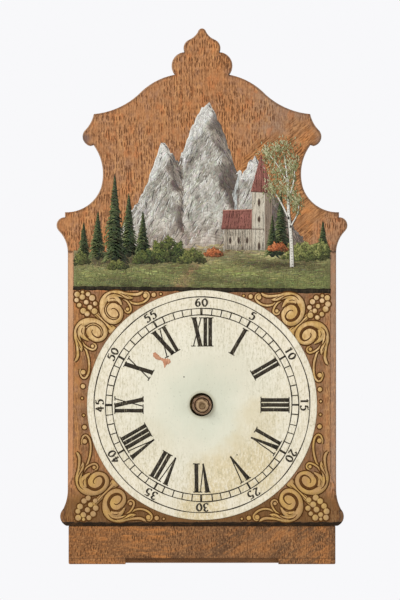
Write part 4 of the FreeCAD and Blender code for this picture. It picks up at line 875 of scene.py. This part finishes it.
# Corner scroll, one arm, as (along, inward, width) in mm from the panel's corner. The other arm is its mirror about
# the diagonal, and the other corners mirror both. Shifts are (x, z) in mm of each arm off its mirrored place: the
# level and the upright arm of the left top, left foot, right top and right foot.
scroll = {
    "shifts": ((-0.3, 0), (0.6, -0.5), (1.8, 0), (1.7, 0), (0.6, -1.3), (-1.4, -2.7), (-0.7, 0.1), (-1.6, 0.5)),
    "cornerX": 91.2, "top": 80.9, "bottom": -83, "outline": 1.7, "ballRing": 0.35, "lift": 0.06, "step": 0.03,
    "tailFrom": 43, "tailReach": 0.7, "tailIn": 0.36, "tailMost": 3.4,
    "band": ((31.9, 10.2, 1.4), (33.8, 14.4, 3), (33.2, 18.5, 3.5), (31.1, 20.8, 3.8), (28.2, 21.4, 4.1),
        (25.1, 20, 4.2), (22.5, 17.3, 4.3), (21.1, 13.8, 4.4), (20.9, 9.7, 4.5), (22.2, 5.9, 4.7),
        (25.1, 3.2, 4.8), (29.2, 1.8, 4.4), (32.6, 1.8, 4.1), (35.4, 2.2, 3.3), (38.2, 2.2, 2.2), (41, 2.2, 1.6),
        (44.3, 2.4, 1.8), (46.6, 2, 1.8), (48.4, 1.1, 1.5), (49.6, 0.1, 0.3)),
    "lobes": (
        ((31.5, 2.6, 2.6), (34.2, 2.8, 3), (36.5, 3.4, 3.2), (38.6, 4.2, 2.8), (41, 4.8, 1.5), (42.5, 4.8, 0.3)),
        ((24.5, 6.5, 3.4), (27.5, 5.6, 4.2), (30.2, 5.7, 4.2), (32.2, 7.2, 3.2), (33.8, 9, 1.6), (34.8, 10.1, 0.3))),
    "longTendril": ((38.6, 6.4, 0.5), (39.8, 7.2, 0.9), (42.4, 8.6, 1.2), (45.9, 9, 1.3), (49.5, 8.1, 1.3),
        (52.3, 6.2, 1.3), (53.8, 3.9, 1.2), (53.3, 1.7, 1.1), (51.6, 0.8, 0.9), (50, 1.6, 0.7)),
    "shortTendril": ((33.2, 3.8, 0.5), (36, 5.6, 0.9), (38.1, 7.1, 1), (39.8, 9.3, 1.1), (41, 11.9, 1.2),
        (40.9, 14, 1.2), (39.2, 15.3, 1.1), (37.3, 14.7, 0.9), (36.7, 13.2, 0.7)),
    "stem": ((12, 12, 3.2), (16.5, 16.5, 3), (20.7, 20.7, 2.9), (23.8, 23.8, 3.6), (26, 26, 4.8),
        (27.5, 27.5, 5.8), (27.9, 27.9, 5.2), (28, 28, 3)),
    "stemLine": ((13.3, 12.2, 0.3), (17.1, 16, 0.45), (21.1, 20.1, 0.45), (24.3, 23, 0.55), (27.4, 25.3, 0.55)),
    "eye": (27.7, 13.8, 5.6),
    "curl": ((33.4, 10.2, 0.5), (30.9, 8.5, 0.9), (28.3, 7.8, 1.3), (25.6, 8.4, 1.8), (23.7, 10.4, 2.1),
        (22.9, 13.4, 2.2), (23.8, 16.2, 2.2), (25.8, 18.5, 2.2), (28.7, 19.6, 2), (31.2, 19, 1.6),
        (32.4, 17.3, 1.2), (32.2, 15.5, 1), (31.1, 13.7, 0.9), (29.5, 12.5, 0.8), (28, 12.3, 0.7),
        (26.9, 13, 0.5)),
    "curlSplit": slice(3, 10), "splitShare": 0.26,
    "veins": (
        ((25.8, 2.6, 0.3), (28.2, 1.9, 0.7), (30.5, 1.9, 0.9), (32.9, 2.6, 0.9), (34.8, 3.7, 0.8), (36.5, 5.1, 0.8),
         (38.4, 5.8, 0.6)),
        ((25.6, 5.6, 0.3), (28.2, 5, 0.7), (30.3, 5.9, 0.3)), ((37.6, 2.2, 0.3), (39.4, 3, 0.6), (41.4, 3.6, 0.8)),
        ((22.8, 5.2, 0.3), (24.4, 3.2, 0.7), (26.8, 1.7, 0.7), (29, 1.2, 0.3)),
        ((33.4, 1.6, 0.3), (35.8, 2.4, 0.7), (38.2, 3.5, 0.7), (40, 4.5, 0.3)),
        ((28.8, 6.9, 0.3), (30.6, 7.3, 0.6), (32.2, 8.5, 0.6), (33.3, 9.6, 0.3))),
    "balls": ((51.3, 3.1, 1.65), (38.6, 12.8, 1.15), (57.2, 2.6, 1.55), (62.2, 2, 0.75)),
}
grapes = {
    "places": ((2.5, 2.1), (10.2, 2.1), (6.3, 4.2), (13.2, 4.8), (2.1, 6.5), (9.1, 7.7), (15.2, 8.9), (3.9, 10.1),
        (11.5, 11.4), (6.7, 13.8), (14.7, 14.3), (9.6, 16.1)),
    "radius": (1.5, 2.15), "ring": 1, "rise": 0.3, "lift": 0.1, "lowerScale": 1.06, "small": (6.3, 0.9, 1.15),
    "shifts": ((0, 0), (0.6, 0.8), (0.5, -2.7), (-0.6, 0.9)), "stray": 0.12,
}


# marks given from the panel's corner, in all four corners: left top, left foot, right top, right foot
def fourCorners(marks):
    x = scroll["cornerX"] - marks[..., 0]
    top, bottom = scroll["top"] - marks[..., 1], scroll["bottom"] + marks[..., 1]
    return np.concatenate([np.stack([s * x, z], -1) for s in (-1, 1) for z in (top, bottom)])


# all eight arms: swap for the diagonal mirror, then sign for the corner
def cornerPlaces(marks, tail=False, middle=False):
    upright = marks
    if tail:
        past = np.maximum(marks[..., 0] - scroll["tailFrom"], 0)
        inward = np.minimum(past * scroll["tailIn"], scroll["tailMost"])
        upright = marks + np.stack([past * scroll["tailReach"], inward], -1)
    shifts = np.array(scroll["shifts"])
    if middle:  # what lies between two arms
        shifts = np.repeat((shifts[::2] + shifts[1::2]) / 2, 2, 0)
    return fourCorners(np.stack([marks, upright[..., ::-1]])) + shifts[:, None]


def drawArms(lines, count, lift, extra=0, tail=False, each=1, middle=False):
    drawn = [smoothLine(line, count) for line in lines]
    paths = np.concatenate([cornerPlaces(line[:, :2], tail, middle or each > 1)[::each] for line in drawn])
    widths = np.repeat([line[:, 2] + extra for line in drawn], 8 // each, 0)
    return ribbons(paths, widths, lift + stagger(len(paths), 2))


# Each form lies on its wider dark outline. The leaf's lobes share one level, so no line parts them at the root.
def cornerScrolls():
    gold = strokePaint("goldPaint", (221, 186, 132), (168, 128, 79), 0.45, (184, 147, 99), patch=(204, 166, 95))
    pale = strokePaint("grapePaint", (222, 190, 146), (168, 133, 87), 0.45, (180, 147, 105), patch=(206, 173, 104))
    brown = strokePaint("scrollBrown", (80, 48, 14), (110, 71, 32), 0.35)
    lift, step, rim = scroll["lift"], scroll["step"], scroll["outline"]
    dark, fill = [], []
    for level, lines, count, tail, each in (
            (0, [scroll["stem"]], 48, False, 2), (1, [scroll["longTendril"]], 46, True, 1),
            (2, [scroll["shortTendril"]], 40, False, 1), (3, [scroll["band"]], 90, False, 1),
            (3.2, scroll["lobes"], 30, False, 1)):
        dark.append(drawArms(lines, count, lift + step * level, rim, tail, each))
        fill.append(drawArms(lines, count, lift + step * (level + 0.5), 0, tail, each))
    top = lift + step * 5
    eye = cornerPlaces(np.array([scroll["eye"][:2]])).reshape(-1, 2)
    balls = np.array(scroll["balls"])
    spots, sizes = cornerPlaces(balls[:, :2], True).reshape(-1, 2), np.tile(balls[:, 2], 8)
    doubled = smoothLine(np.array(scroll["curl"][scroll["curlSplit"]]) * (1, 1, scroll["splitShare"]), 50)
    dark += [drawArms([scroll["stemLine"]], 24, lift + step * 0.8, middle=True),
             beads(spots, sizes + rim / 2, lift, 0.01), beads(spots, sizes + scroll["ballRing"], top, 0.01),
             drawArms([scroll["curl"]], 96, top), drawArms(scroll["veins"], 26, top + step * 0.4)]
    fill += [beads(eye, np.full(8, scroll["eye"][2]), lift + step * 4.2, 0.004, sides=28),
             beads(spots, sizes, top + step / 2, 0.12),
             ribbons(cornerPlaces(doubled[:, :2])[:2], doubled[:, 2], top + step)]  # the left top's are double
    bunch = np.array(grapes["places"] + (grapes["small"][:2],))
    corners = fourCorners(bunch) + np.repeat(grapes["shifts"], len(bunch), 0)
    sizes = rng.uniform(*grapes["radius"], len(corners)) * np.where(corners[:, 1] < 0, grapes["lowerScale"], 1)
    sizes[len(bunch) - 1::len(bunch)] = grapes["small"][2]
    corners = corners + rng.normal(0, grapes["stray"], corners.shape)
    dark.append(beads(corners, sizes + grapes["ring"], lift, 0.01))
    makePiece("scroll_outlines", dark, brown)
    makePiece("scroll_gold", fill, gold)
    makePiece("scroll_grapes", [beads(corners, sizes, grapes["lift"], grapes["rise"])], pale)


blackLine()
cornerScrolls()
print("panel painted")

# The picture's ground: half width of the board in mm at a height, so that no dab hangs over the edge
boardEdge = np.array((
    (80, 91.4), (109, 91.4), (113, 94.5), (120, 97), (124, 99), (130, 99), (133.5, 95), (136.5, 95), (139, 84),
    (142, 78), (149, 71.5), (158, 69.5), (166, 69), (176, 71), (184, 75), (190, 82), (196, 80), (206, 74),
    (211, 59), (221, 43), (230, 31)))


def kept(x, z, room=1.5):
    return np.abs(x) < np.interp(z, *boardEdge.T) - room


# Brush dabs. A dab is an arc, across = bend * (1/4 - t^2) * length, widest in its middle.
def dabs(places, angles, lengths, widths, shades, lift, bends=0, steps=4):
    inside = kept(places[:, 0], places[:, 1])
    angles, lengths, widths, bends = (np.broadcast_to(np.asarray(v, float), len(places))[inside][:, None]
                                      for v in (angles, lengths, widths, bends))
    shades = np.broadcast_to(np.asarray(shades, float), (len(places), 3))[inside]
    t = np.linspace(-0.5, 0.5, steps)
    along, across = t * lengths, bends * (0.25 - t * t) * lengths
    c, s = np.cos(angles), np.sin(angles)
    paths = places[inside][:, None] + np.stack([c * along - s * across, s * along + c * across], 2)
    taper = np.sqrt(np.maximum(1 - (1.9 * t) ** 2, 0.06))
    return ribbons(paths, widths * taper, np.linspace(*lift, len(paths)), colours=linear(np.clip(shades, 6, 250)))


# dabs of uneven length, width and bend, drawn in that order
def scatter(places, angles, lengths, widths, shades, lift, bend, grow=1, least=0):
    n = len(places)
    long = least + grow * rng.uniform(*lengths, n)
    return dabs(places, angles, long, rng.uniform(*widths, n), shades, lift, rng.normal(0, bend, n))


# level strokes that cover the ground row by row
def washed(x, z, width, lift, shades):
    paths = np.stack([np.broadcast_to(x, z.shape), z], 2)
    return ribbons(paths, width, np.linspace(*lift, len(z)), colours=linear(shades))


def mixed(a, b, share):
    share = np.clip(np.asarray(share, float), 0, 1)[..., None]
    return np.asarray(a, float) * (1 - share) + np.asarray(b, float) * share


# from dark over middle to light as the share goes from 0 to 1
def threeTones(tones, share, most=1):
    lower, upper = mixed(*tones[:2], share * 2), mixed(*tones[1:], (share * 2 - 1) * most)
    return np.where((share < 0.5)[..., None], lower, upper)


# Soft uneven light: a sum of crossed sine waves, about -1 to 1
def patchy(x, z, size, seed=0):
    return (np.sin(x / size + 1.3 * np.sin(z / size * 0.7 + seed))
            + np.sin(z / size * 1.4 + 0.6 * x / size + 2 * seed) + np.sin((x - z) / size * 0.5 + seed)) / 3


# Meadow: shadows are (x, height, half width, half height, strength)
meadow = {
    "half": 91.2, "floor": 84.3, "deep": 28, "rows": 22, "columns": 90, "dabs": 2300, "blades": 1900,
    "groundLift": (0.03, 0.05), "dabLift": (0.08, 0.14), "bladeLift": (0.15, 0.19),
    "near": (106, 111, 69), "far": (166, 154, 114), "sun": (142, 150, 88), "shade": (62, 54, 39),
    "earth": (158, 130, 96), "bladeTones": ((58, 76, 38), (172, 170, 104)),
    "shadows": ((-58, 103, 30, 4.5, 0.85), (56, 99.5, 27, 3.4, 0.85), (-72, 89, 24, 3, 0.25),
        (20, 88, 22, 2.5, 0.35)),
}


def horizon(x):
    return 111.5 + 2.2 * np.sin(x / 31 + 0.6) + 0.8 * np.sin(x / 9)


# The path winds from the chapel door to the lower left
def pathMiddle(z):
    return 24 - 1.5 * (112 - z) - 8 * np.sin((112 - z) / 8)


# Upper edge of the black line, where the grass ends
def grassFoot(x):
    share = (x - panelLine["left"][0]) / (panelLine["right"][0] - panelLine["left"][0])
    middle, width = (np.interp(share, (0, 1), ends) for ends in
                     ((panelLine["left"][1], panelLine["right"][1]), panelLine["width"]))
    return middle + width / 2


def meadowShade(x, z):
    shade = mixed(meadow["near"], meadow["far"], (z - meadow["floor"]) / meadow["deep"])
    shade = mixed(shade, meadow["sun"], 0.45 * np.exp(-((z - 96 - x / 20) / 5) ** 2) + 0.3 * (x > 20) * (z < 94))
    for cx, cz, wide, tall, strength in meadow["shadows"]:
        shade = mixed(shade, meadow["shade"], strength * np.exp(-((x - cx) / wide) ** 2 - ((z - cz) / tall) ** 2))
    shade = mixed(shade, meadow["earth"], 0.85 * np.exp(-((x - pathMiddle(z)) / (1.4 + 0.16 * (112 - z))) ** 2))
    return shade * (1 + 0.16 * patchy(x, z * 2.2, 8) + 0.07 * patchy(x, z * 2, 2.6, 1))[..., None]


def paintMeadow():
    half = meadow["half"]
    x = np.linspace(-half, half, meadow["columns"])
    share = (np.arange(meadow["rows"]) + 0.5)[:, None] / meadow["rows"]
    top, foot = horizon(x) - 0.6, grassFoot(x) - 0.8
    z = foot + share * (top - foot)
    ground = washed(x, z, (top - foot) / 20, meadow["groundLift"], meadowShade(x, z))
    n = meadow["dabs"]
    x = rng.uniform(-half + 4, half - 4, n)
    z = grassFoot(x) + 0.6 + rng.uniform(0, 1, n) * (horizon(x) - grassFoot(x) - 0.6)
    tint = meadowShade(x, z) * rng.normal(1, 0.14, (n, 1)) + rng.normal(0, 4, (n, 3))
    strokes = scatter(np.c_[x, z], rng.normal(0.02, 0.14, n), (3, 8), (0.5, 1.15), tint, meadow["dabLift"], 0.15)
    n = meadow["blades"]
    x = rng.uniform(-half + 1, half - 1, n)
    z = grassFoot(x) + 1 + rng.beta(1, 1.8, n) * (horizon(x) - grassFoot(x))
    near = 1 - (z - meadow["floor"]) / meadow["deep"]
    tint = mixed(meadowShade(x, z), mixed(*meadow["bladeTones"], rng.beta(0.8, 1, n)), rng.uniform(0.15, 0.7, n))
    blades = scatter(np.c_[x, z], rng.normal(1.5, 0.32, n), (0.4, 1), (0.3, 0.65), tint, meadow["bladeLift"], 0.2,
                     2.2 * near, 1)
    return [ground, strokes, blades]


# Crags: peaks (x, height); left of each spine is lit, right of it lies in shade
crags = {
    "peaks": np.array(((-27, 186), (4, 214), (38, 176))), "lean": 0.2, "valleys": (-15, 24),
    "ridge": np.array(((-70, 111), (-60, 120), (-50, 138), (-43, 148), (-36, 164), (-30, 182), (-27, 187),
        (-22, 178), (-16, 172), (-10, 188), (-4, 203), (4, 215), (10, 204), (16, 190), (23, 168), (29, 164),
        (34, 172), (38, 177), (44, 164), (52, 148), (60, 136), (68, 122), (78, 112))),
    "tones": ((82, 78, 76), (166, 161, 150), (222, 219, 208)), "warm": (176, 140, 116), "snow": (236, 235, 228),
    "ink": (66, 62, 60), "water": ((236, 236, 230), (176, 182, 180)), "floor": 109.5, "rows": 46, "columns": 110,
    "dabs": 4200, "crevices": 420, "ridgeLights": 260, "fallThreads": 170, "fallTop": 163, "fallFoot": 112,
    "groundLift": (0.02, 0.05), "dabLift": (0.06, 0.13), "creviceLift": (0.131, 0.138), "ridgeLift": (0.139, 0.143),
    "fallLift": (0.144, 0.149), "facets": 260, "facetSize": (4.2, 7.5), "facetLean": 0.5, "crackWidth": 0.16,
    "litLean": math.radians(-118), "shadeLean": math.radians(-60), "litCrack": math.radians(-112),
    "shadeCrack": math.radians(-66),
}
facetSpots = rng.uniform((-72, 106), (80, 218), (crags["facets"], 2))
facetTones = rng.uniform(-1, 1, crags["facets"])


# Rock faces: each point takes the tone of its nearest spot, measured along the slope; the crack
# between two faces is where both spots are nearly as near
def facetLight(x, z, lit):
    slope = np.where(lit > 0.5, crags["facetLean"], -crags["facetLean"])[..., None]
    down = z[..., None] - facetSpots[:, 1]
    side = (x[..., None] - facetSpots[:, 0] - slope * down) / crags["facetSize"][0]
    far = np.hypot(side, down / crags["facetSize"][1])
    two = np.argpartition(far, 1, -1)[..., :2]
    near = np.take_along_axis(far, two, -1)
    first = np.take_along_axis(two, near.argmin(-1)[..., None], -1)[..., 0]
    return facetTones[first], np.clip(np.ptp(near, -1) / crags["crackWidth"], 0, 1)


def ridgeTop(x):
    return np.interp(x, *crags["ridge"].T) + 1.1 * np.sin(x * 1.7) + 0.8 * np.sin(x * 0.9 + 2)


def cragShade(x, z):
    drift = crags["lean"] * (200 - z) * 0.35
    which = (x > crags["valleys"][0] + drift * 0.4).astype(int) + (x > crags["valleys"][1] + drift * 0.6)
    peakX, peakZ = crags["peaks"][which, 0], crags["peaks"][which, 1]
    spine = peakX + crags["lean"] * (peakZ - z) + 2.2 * np.sin(z / 5.5 + which) + 1.2 * np.sin(z / 2.3)
    lit = 1 / (1 + np.exp((x - spine) / 0.9))
    ribs = 0.5 + 0.5 * np.sin(x * 0.75 + 0.28 * z + 2.4 * patchy(x, z, 9))
    face, crack = facetLight(x, np.broadcast_to(z, lit.shape), lit)
    light = 0.2 + 0.52 * lit + 0.25 * face + 0.16 * (ribs - 0.5) + 0.1 * patchy(x, z, 4.5, 1)
    shade = threeTones(crags["tones"], np.clip(light * (0.6 + 0.4 * crack), 0, 1))
    haze = np.clip((136 - z) / 26, 0, 1)
    shade = mixed(shade, crags["warm"], 0.3 * haze + 0.16 * (1 - lit))
    cap = np.clip((z - ridgeTop(x) + 17 + 5 * patchy(x, z, 3.5)) / 7, 0, 1) * lit * (z > 160)
    return mixed(shade, crags["snow"], 0.85 * cap), lit


def paintCrags():
    floor, dark, snow = crags["floor"], crags["tones"][0], crags["snow"]
    x = np.linspace(-68, 76, crags["columns"])
    top = ridgeTop(x) - 0.8
    z = floor + np.linspace(0, 1, crags["rows"])[:, None] * (top - floor)
    under = washed(x, z, (top - floor) / 42 + 0.3, crags["groundLift"], cragShade(x, z)[0])
    n = crags["dabs"]
    x = rng.uniform(-64, 73, n)
    z = floor + rng.uniform(0, 1, n) ** 0.85 * (ridgeTop(x) - floor)
    tint, lit = cragShade(x, z)
    tint = tint * rng.normal(1, 0.055, (n, 1)) + rng.normal(0, 3, (n, 3))
    lean = np.where(lit > 0.5, crags["litLean"], crags["shadeLean"]) + rng.normal(0, 0.25, n)
    strokes = scatter(np.c_[x, z], lean, (1.6, 4.2), (0.5, 1.4), tint, crags["dabLift"], 0.2,
                      np.clip((ridgeTop(x) - z) / 6, 0.35, 1))
    n = crags["crevices"]
    x = rng.uniform(-62, 71, n)
    z = floor + rng.uniform(0.04, 0.96, n) * (ridgeTop(x) - floor)
    sunny = cragShade(x, z)[1] > 0.5
    bright = (sunny & (rng.uniform(0, 1, n) < 0.55))[:, None]
    tint = np.where(bright, snow, mixed(crags["ink"], dark, rng.uniform(0, 1, n)))
    lean = np.where(sunny, crags["litCrack"], crags["shadeCrack"]) + rng.normal(0, 0.16, n)
    lines = scatter(np.c_[x, z], lean, (2.5, 8), (0.25, 0.6), tint, crags["creviceLift"], 0.3)
    n = crags["ridgeLights"]
    x = rng.uniform(-62, 70, n)
    slope = np.arctan2(ridgeTop(x + 0.8) - ridgeTop(x - 0.8), 1.6)
    edge = dabs(np.c_[x, ridgeTop(x) - 0.7], slope + rng.normal(0, 0.15, n), rng.uniform(1.5, 3.5, n),
                rng.uniform(0.4, 0.9, n), mixed(snow, dark, (slope < 0) * 0.75 + rng.uniform(0, 0.2, n)),
                crags["ridgeLift"])
    n = crags["fallThreads"]  # the fall: pale threads down the gully
    z = rng.uniform(crags["fallFoot"], crags["fallTop"], n)
    x = 25.5 + 2 * np.sin(z / 8.5) + rng.normal(0, 0.25 + 0.018 * (crags["fallTop"] - z), n)
    fall = dabs(np.c_[x, z], np.radians(-90) + rng.normal(0, 0.1, n), rng.uniform(3, 7, n),
                rng.uniform(0.25, 0.6, n), mixed(*crags["water"], rng.uniform(0, 1, n)), crags["fallLift"])
    return [under, strokes, lines, edge, fall]


# Firs: whorls of drooping boughs, half spread = spread * (1 - level) ^ 0.85; trees are (x, base, height, spread)
firs = {
    "trees": ((-84, 104, 26, 7), (-74, 105, 33, 8.5), (-52, 107, 44, 9.5), (-42, 108, 30, 7.5),
        (-62, 103, 62, 12), (86, 106, 25, 7), (56, 108, 44, 9.5), (50, 107, 28, 7)),
    "tones": ((32, 44, 32), (66, 86, 52), (142, 148, 92)), "levels": 24, "boughs": 11, "lift": 0.15, "step": 0.012,
}


def paintFirs():
    parts = []
    level, bough = (a.ravel() for a in np.indices((firs["levels"], firs["boughs"])))
    share, n = level / firs["levels"], len(level)
    lean = (bough / (firs["boughs"] - 1) - 0.5) * 2
    cone = (1 - np.linspace(0, 1, 12)) ** 0.8
    for number, (x, base, tall, spread) in enumerate(firs["trees"]):
        reach = spread * (1 - share) ** 0.85 * rng.uniform(0.62, 1.2, n)
        z = base + tall * (0.06 + 0.92 * share) - np.abs(lean) * reach * 0.3 + rng.normal(0, 0.35, n)
        tint = threeTones(firs["tones"], np.clip(0.45 - 0.45 * lean + rng.normal(0, 0.22, n), 0, 1), 0.8)
        start = firs["lift"] + firs["step"] * number
        stem = np.stack([np.full(12, x), base - 2 + (tall + 2) * np.linspace(0, 0.99, 12)], 1)
        width = spread * 0.95 * cone + 0.3
        width[0] = 1.4
        parts.append(ribbons(stem[None], width, start, colours=linear(firs["tones"][0])))
        parts.append(dabs(np.c_[x + lean * reach * 0.5, z], -lean * 0.75 + rng.normal(0, 0.12, n),
                          np.maximum(reach * 0.8, 1.1), np.maximum(reach * 0.13, 0.5), tint,
                          (start + 0.001, start + 0.012), -0.25 * lean))
    return parts


# Bushes: dabs crowded towards the middle of a flat-footed mound, lit from the upper left.
# Mounds are (x, base, half width, height, kind of leaves).
bushes = {
    "mounds": ((-24, 102, 16, 11, 0), (-7, 101, 10, 6.5, 1), (-40, 101, 9, 6, 0), (66, 104, 9, 7, 2),
        (76, 103, 12, 8, 2), (86, 106, 6, 7, 2), (-86, 100, 6, 6, 1), (8, 106, 6, 3.5, 3), (-60, 97, 8, 3.6, 1),
        (54, 110, 7, 3.4, 3)),
    "leaves": (((34, 44, 26), (70, 86, 42), (122, 128, 66)), ((44, 52, 30), (84, 94, 48), (140, 142, 78)),
        ((58, 66, 36), (104, 112, 60), (164, 164, 98)), ((96, 60, 36), (176, 96, 56), (214, 134, 84))),
    "dabs": 240, "lift": 0.26, "step": 0.006, "core": 0.86,
}


def paintBushes():
    parts = []
    half = slice(0, None, 2)  # the core has half as many dabs
    for number, (x, base, wide, tall, kind) in enumerate(bushes["mounds"]):
        n = int(bushes["dabs"] * max(wide * tall / 90, 0.4))
        turn = rng.uniform(0, np.pi, n)
        reach = np.sqrt(rng.uniform(0, 1, n))
        px = x + wide * reach * np.cos(turn) * (1 + 0.12 * np.sin(7 * turn))
        pz = base + tall * 1.5 * reach * np.sin(turn) * (1 + 0.14 * np.sin(9 * turn + number))
        lit = 0.5 + 0.5 * (pz - base) / (1.5 * tall) - 0.35 * (px - x) / wide - 0.3 + rng.normal(0, 0.2, n)
        lit = np.clip(lit, 0, 1)
        order = np.argsort(lit)
        leaves = bushes["leaves"][kind]
        start = bushes["lift"] + bushes["step"] * number
        core = np.c_[x + bushes["core"] * (px - x), base + bushes["core"] * (pz - base)]
        parts.append(dabs(core[half], rng.normal(0, 0.5, n)[half], rng.uniform(2.6, 4.6, n)[half],
                          rng.uniform(1.4, 2.4, n)[half], mixed(*leaves[:2], lit * 0.5)[half],
                          (start - 0.004, start - 0.0005)))
        parts.append(scatter(np.c_[px, pz][order], rng.uniform(0, np.pi, n), (1.2, 2.6), (0.6, 1.2),
                             threeTones(leaves, lit)[order], (start, start + 0.006), 0.3))
    return parts


# Birch: limbs are tapering ribbons (x, height, width), leaves hang in loose sprays from the limb ends
birch = {
    "limbs": (((64, 98, 2.7), (63.4, 118, 2.3), (61.5, 138, 1.8), (61, 158, 1.3), (58.5, 178, 0.7)),
        ((62, 132, 1.2), (55, 146, 0.9), (49, 155, 0.5)), ((61.3, 146, 1.1), (65, 158, 0.7), (66, 168, 0.4)),
        ((60.9, 158, 0.9), (54, 170, 0.6), (48, 178, 0.35)), ((62.6, 126, 0.9), (68, 136, 0.6), (69, 143, 0.35))),
    "outline": (96, 88, 78), "bark": (224, 220, 208), "mark": (70, 62, 54), "lenticels": 44, "dabs": 190,
    "sprays": ((50, 153, 8, 8), (48, 178, 8, 7), (58, 181, 10, 9), (65, 168, 6, 9), (67, 143, 5, 8),
        (55, 165, 9, 8), (61, 152, 7, 9)),
    "leaves": ((92, 98, 62), (146, 148, 100), (202, 198, 162)), "lift": (0.33, 0.334, 0.336, 0.34), "step": 0.004,
}


def paintBirch():
    limbs = np.stack([smoothLine(limb, 18) for limb in birch["limbs"]])
    dark, bark, mark, leaf = birch["lift"]
    parts = [ribbons(limbs[..., :2], limbs[..., 2] + 0.5, dark, colours=linear(birch["outline"])),
             ribbons(limbs[..., :2] - (0.12, 0), limbs[..., 2], bark, colours=linear(birch["bark"]))]
    n = birch["lenticels"]  # dark marks across the stem
    at = smoothLine(birch["limbs"][0], n)
    places = at[:, :2] + np.c_[rng.uniform(-0.4, 0.6, n), np.zeros(n)]
    parts.append(dabs(places, rng.normal(0, 0.2, n), at[:, 2] * rng.uniform(0.25, 0.7, n),
                      rng.uniform(0.25, 0.5, n), birch["mark"], (mark, mark + 0.001)))
    n = birch["dabs"]
    for number, (x, z, wide, tall) in enumerate(birch["sprays"]):
        px = x + wide * np.clip(rng.normal(0, 0.45, n), -1.2, 1.2)
        pz = z + 2 + tall * np.clip(rng.normal(-0.15, 0.5, n), -1.3, 0.9)
        lit = np.clip(0.5 - 0.3 * (px - x) / wide + 0.3 * (pz - z) / tall + rng.normal(0, 0.25, n), 0, 1)
        start = leaf + birch["step"] * number
        parts.append(scatter(np.c_[px, pz], rng.normal(-1.35, 0.35, n), (0.9, 2.4), (0.35, 0.75),
                             threeTones(birch["leaves"], lit), (start, start + 0.004), 0.3))
    return parts


# Chapel: walls and roofs are upright strokes laid side by side between two edge lines (x, low, high).
# Openings are (x, height, tall) and drawn lines are (from, to, shade).
chapel = {
    "walls": (  # edges, shade, other shade, lift, stroke, lean
        (((16, 110.5, 126), (38, 110, 126)), (206, 196, 176), (142, 126, 110), 0.16, 0.9, 0),
        (((14, 125, 138), (44.5, 125, 139)), (168, 108, 96), (116, 70, 64), 0.168, 0.8, 0.12),
        (((36, 110, 152), (45, 110, 152)), (206, 196, 176), (226, 218, 200), 0.178, 0.9, 0),
        (((45, 110, 152), (49.5, 111.5, 151)), (142, 126, 110), (112, 98, 86), 0.186, 0.9, 0),
        (((35, 151.5, 152.5), (42, 151, 178), (50.5, 150.5, 151.5)), (168, 108, 96), (116, 70, 64), 0.194, 0.7, 0)),
    "openings": ((20, 117, 4.6), (26, 117, 4.6), (32, 117, 4.6), (40.5, 144, 5.2), (40.5, 132, 4),
        (40.5, 112.8, 5.6)),
    "frame": (180, 168, 148), "pane": (62, 48, 42),
    "lines": (((14, 125), (44, 125), (92, 62, 54)), ((14.6, 138.3), (36, 138.8), (196, 142, 124)),
        ((35, 151.6), (50, 150.8), (88, 60, 52)), ((36, 110), (36, 151), (176, 164, 146))),
    "frameLift": (0.202, 0.203), "paneLift": (0.205, 0.206), "lineLift": 0.209, "line": 0.55,
}


def wallStrokes(edges, shade, other, lift, step, lean):
    line = np.array(edges)
    x = np.arange(line[0, 0], line[-1, 0] + 1e-6, step * 0.62)[:, None]
    low, high = np.interp(x, line[:, 0], line[:, 1]), np.interp(x, line[:, 0], line[:, 2])
    z = low + (high - low) * np.linspace(0, 1, 6)
    paths = np.stack([x + lean * (z - low), z], 2) + rng.normal(0, 0.06, (*z.shape, 2))
    weight = np.clip(rng.normal(0.3, 0.2, x.shape) + 0.25 * patchy(x, z, 2.4), 0, 1)
    tops = np.linspace(lift, lift + 0.006, len(x))
    return ribbons(paths, step, tops, colours=linear(mixed(shade, other, weight)))


def paintChapel():
    parts = [wallStrokes(*wall) for wall in chapel["walls"]]
    panes = np.array(chapel["openings"])
    for extra, wide, shade, lift in ((0.8, 2.5, chapel["frame"], chapel["frameLift"]),
                                     (0, 1.7, chapel["pane"], chapel["paneLift"])):
        parts.append(dabs(panes[:, :2], np.pi / 2, panes[:, 2] + extra, wide, shade, lift))
    first, last, shades = (np.array(v, float) for v in zip(*chapel["lines"]))
    paths = first[:, None] + (last - first)[:, None] * np.linspace(0, 1, 6)[:, None]
    parts.append(ribbons(paths, chapel["line"], chapel["lineLift"], colours=linear(shades)))
    return parts


painted = picturePaint()
paintings = {
    "picture_meadow": paintMeadow, "picture_crags": paintCrags, "picture_firs": paintFirs,
    "picture_chapel": paintChapel, "picture_bushes": paintBushes, "picture_birch": paintBirch,
}
for pieceName, paint in paintings.items():
    makePiece(pieceName, paint(), painted)
print("picture painted")
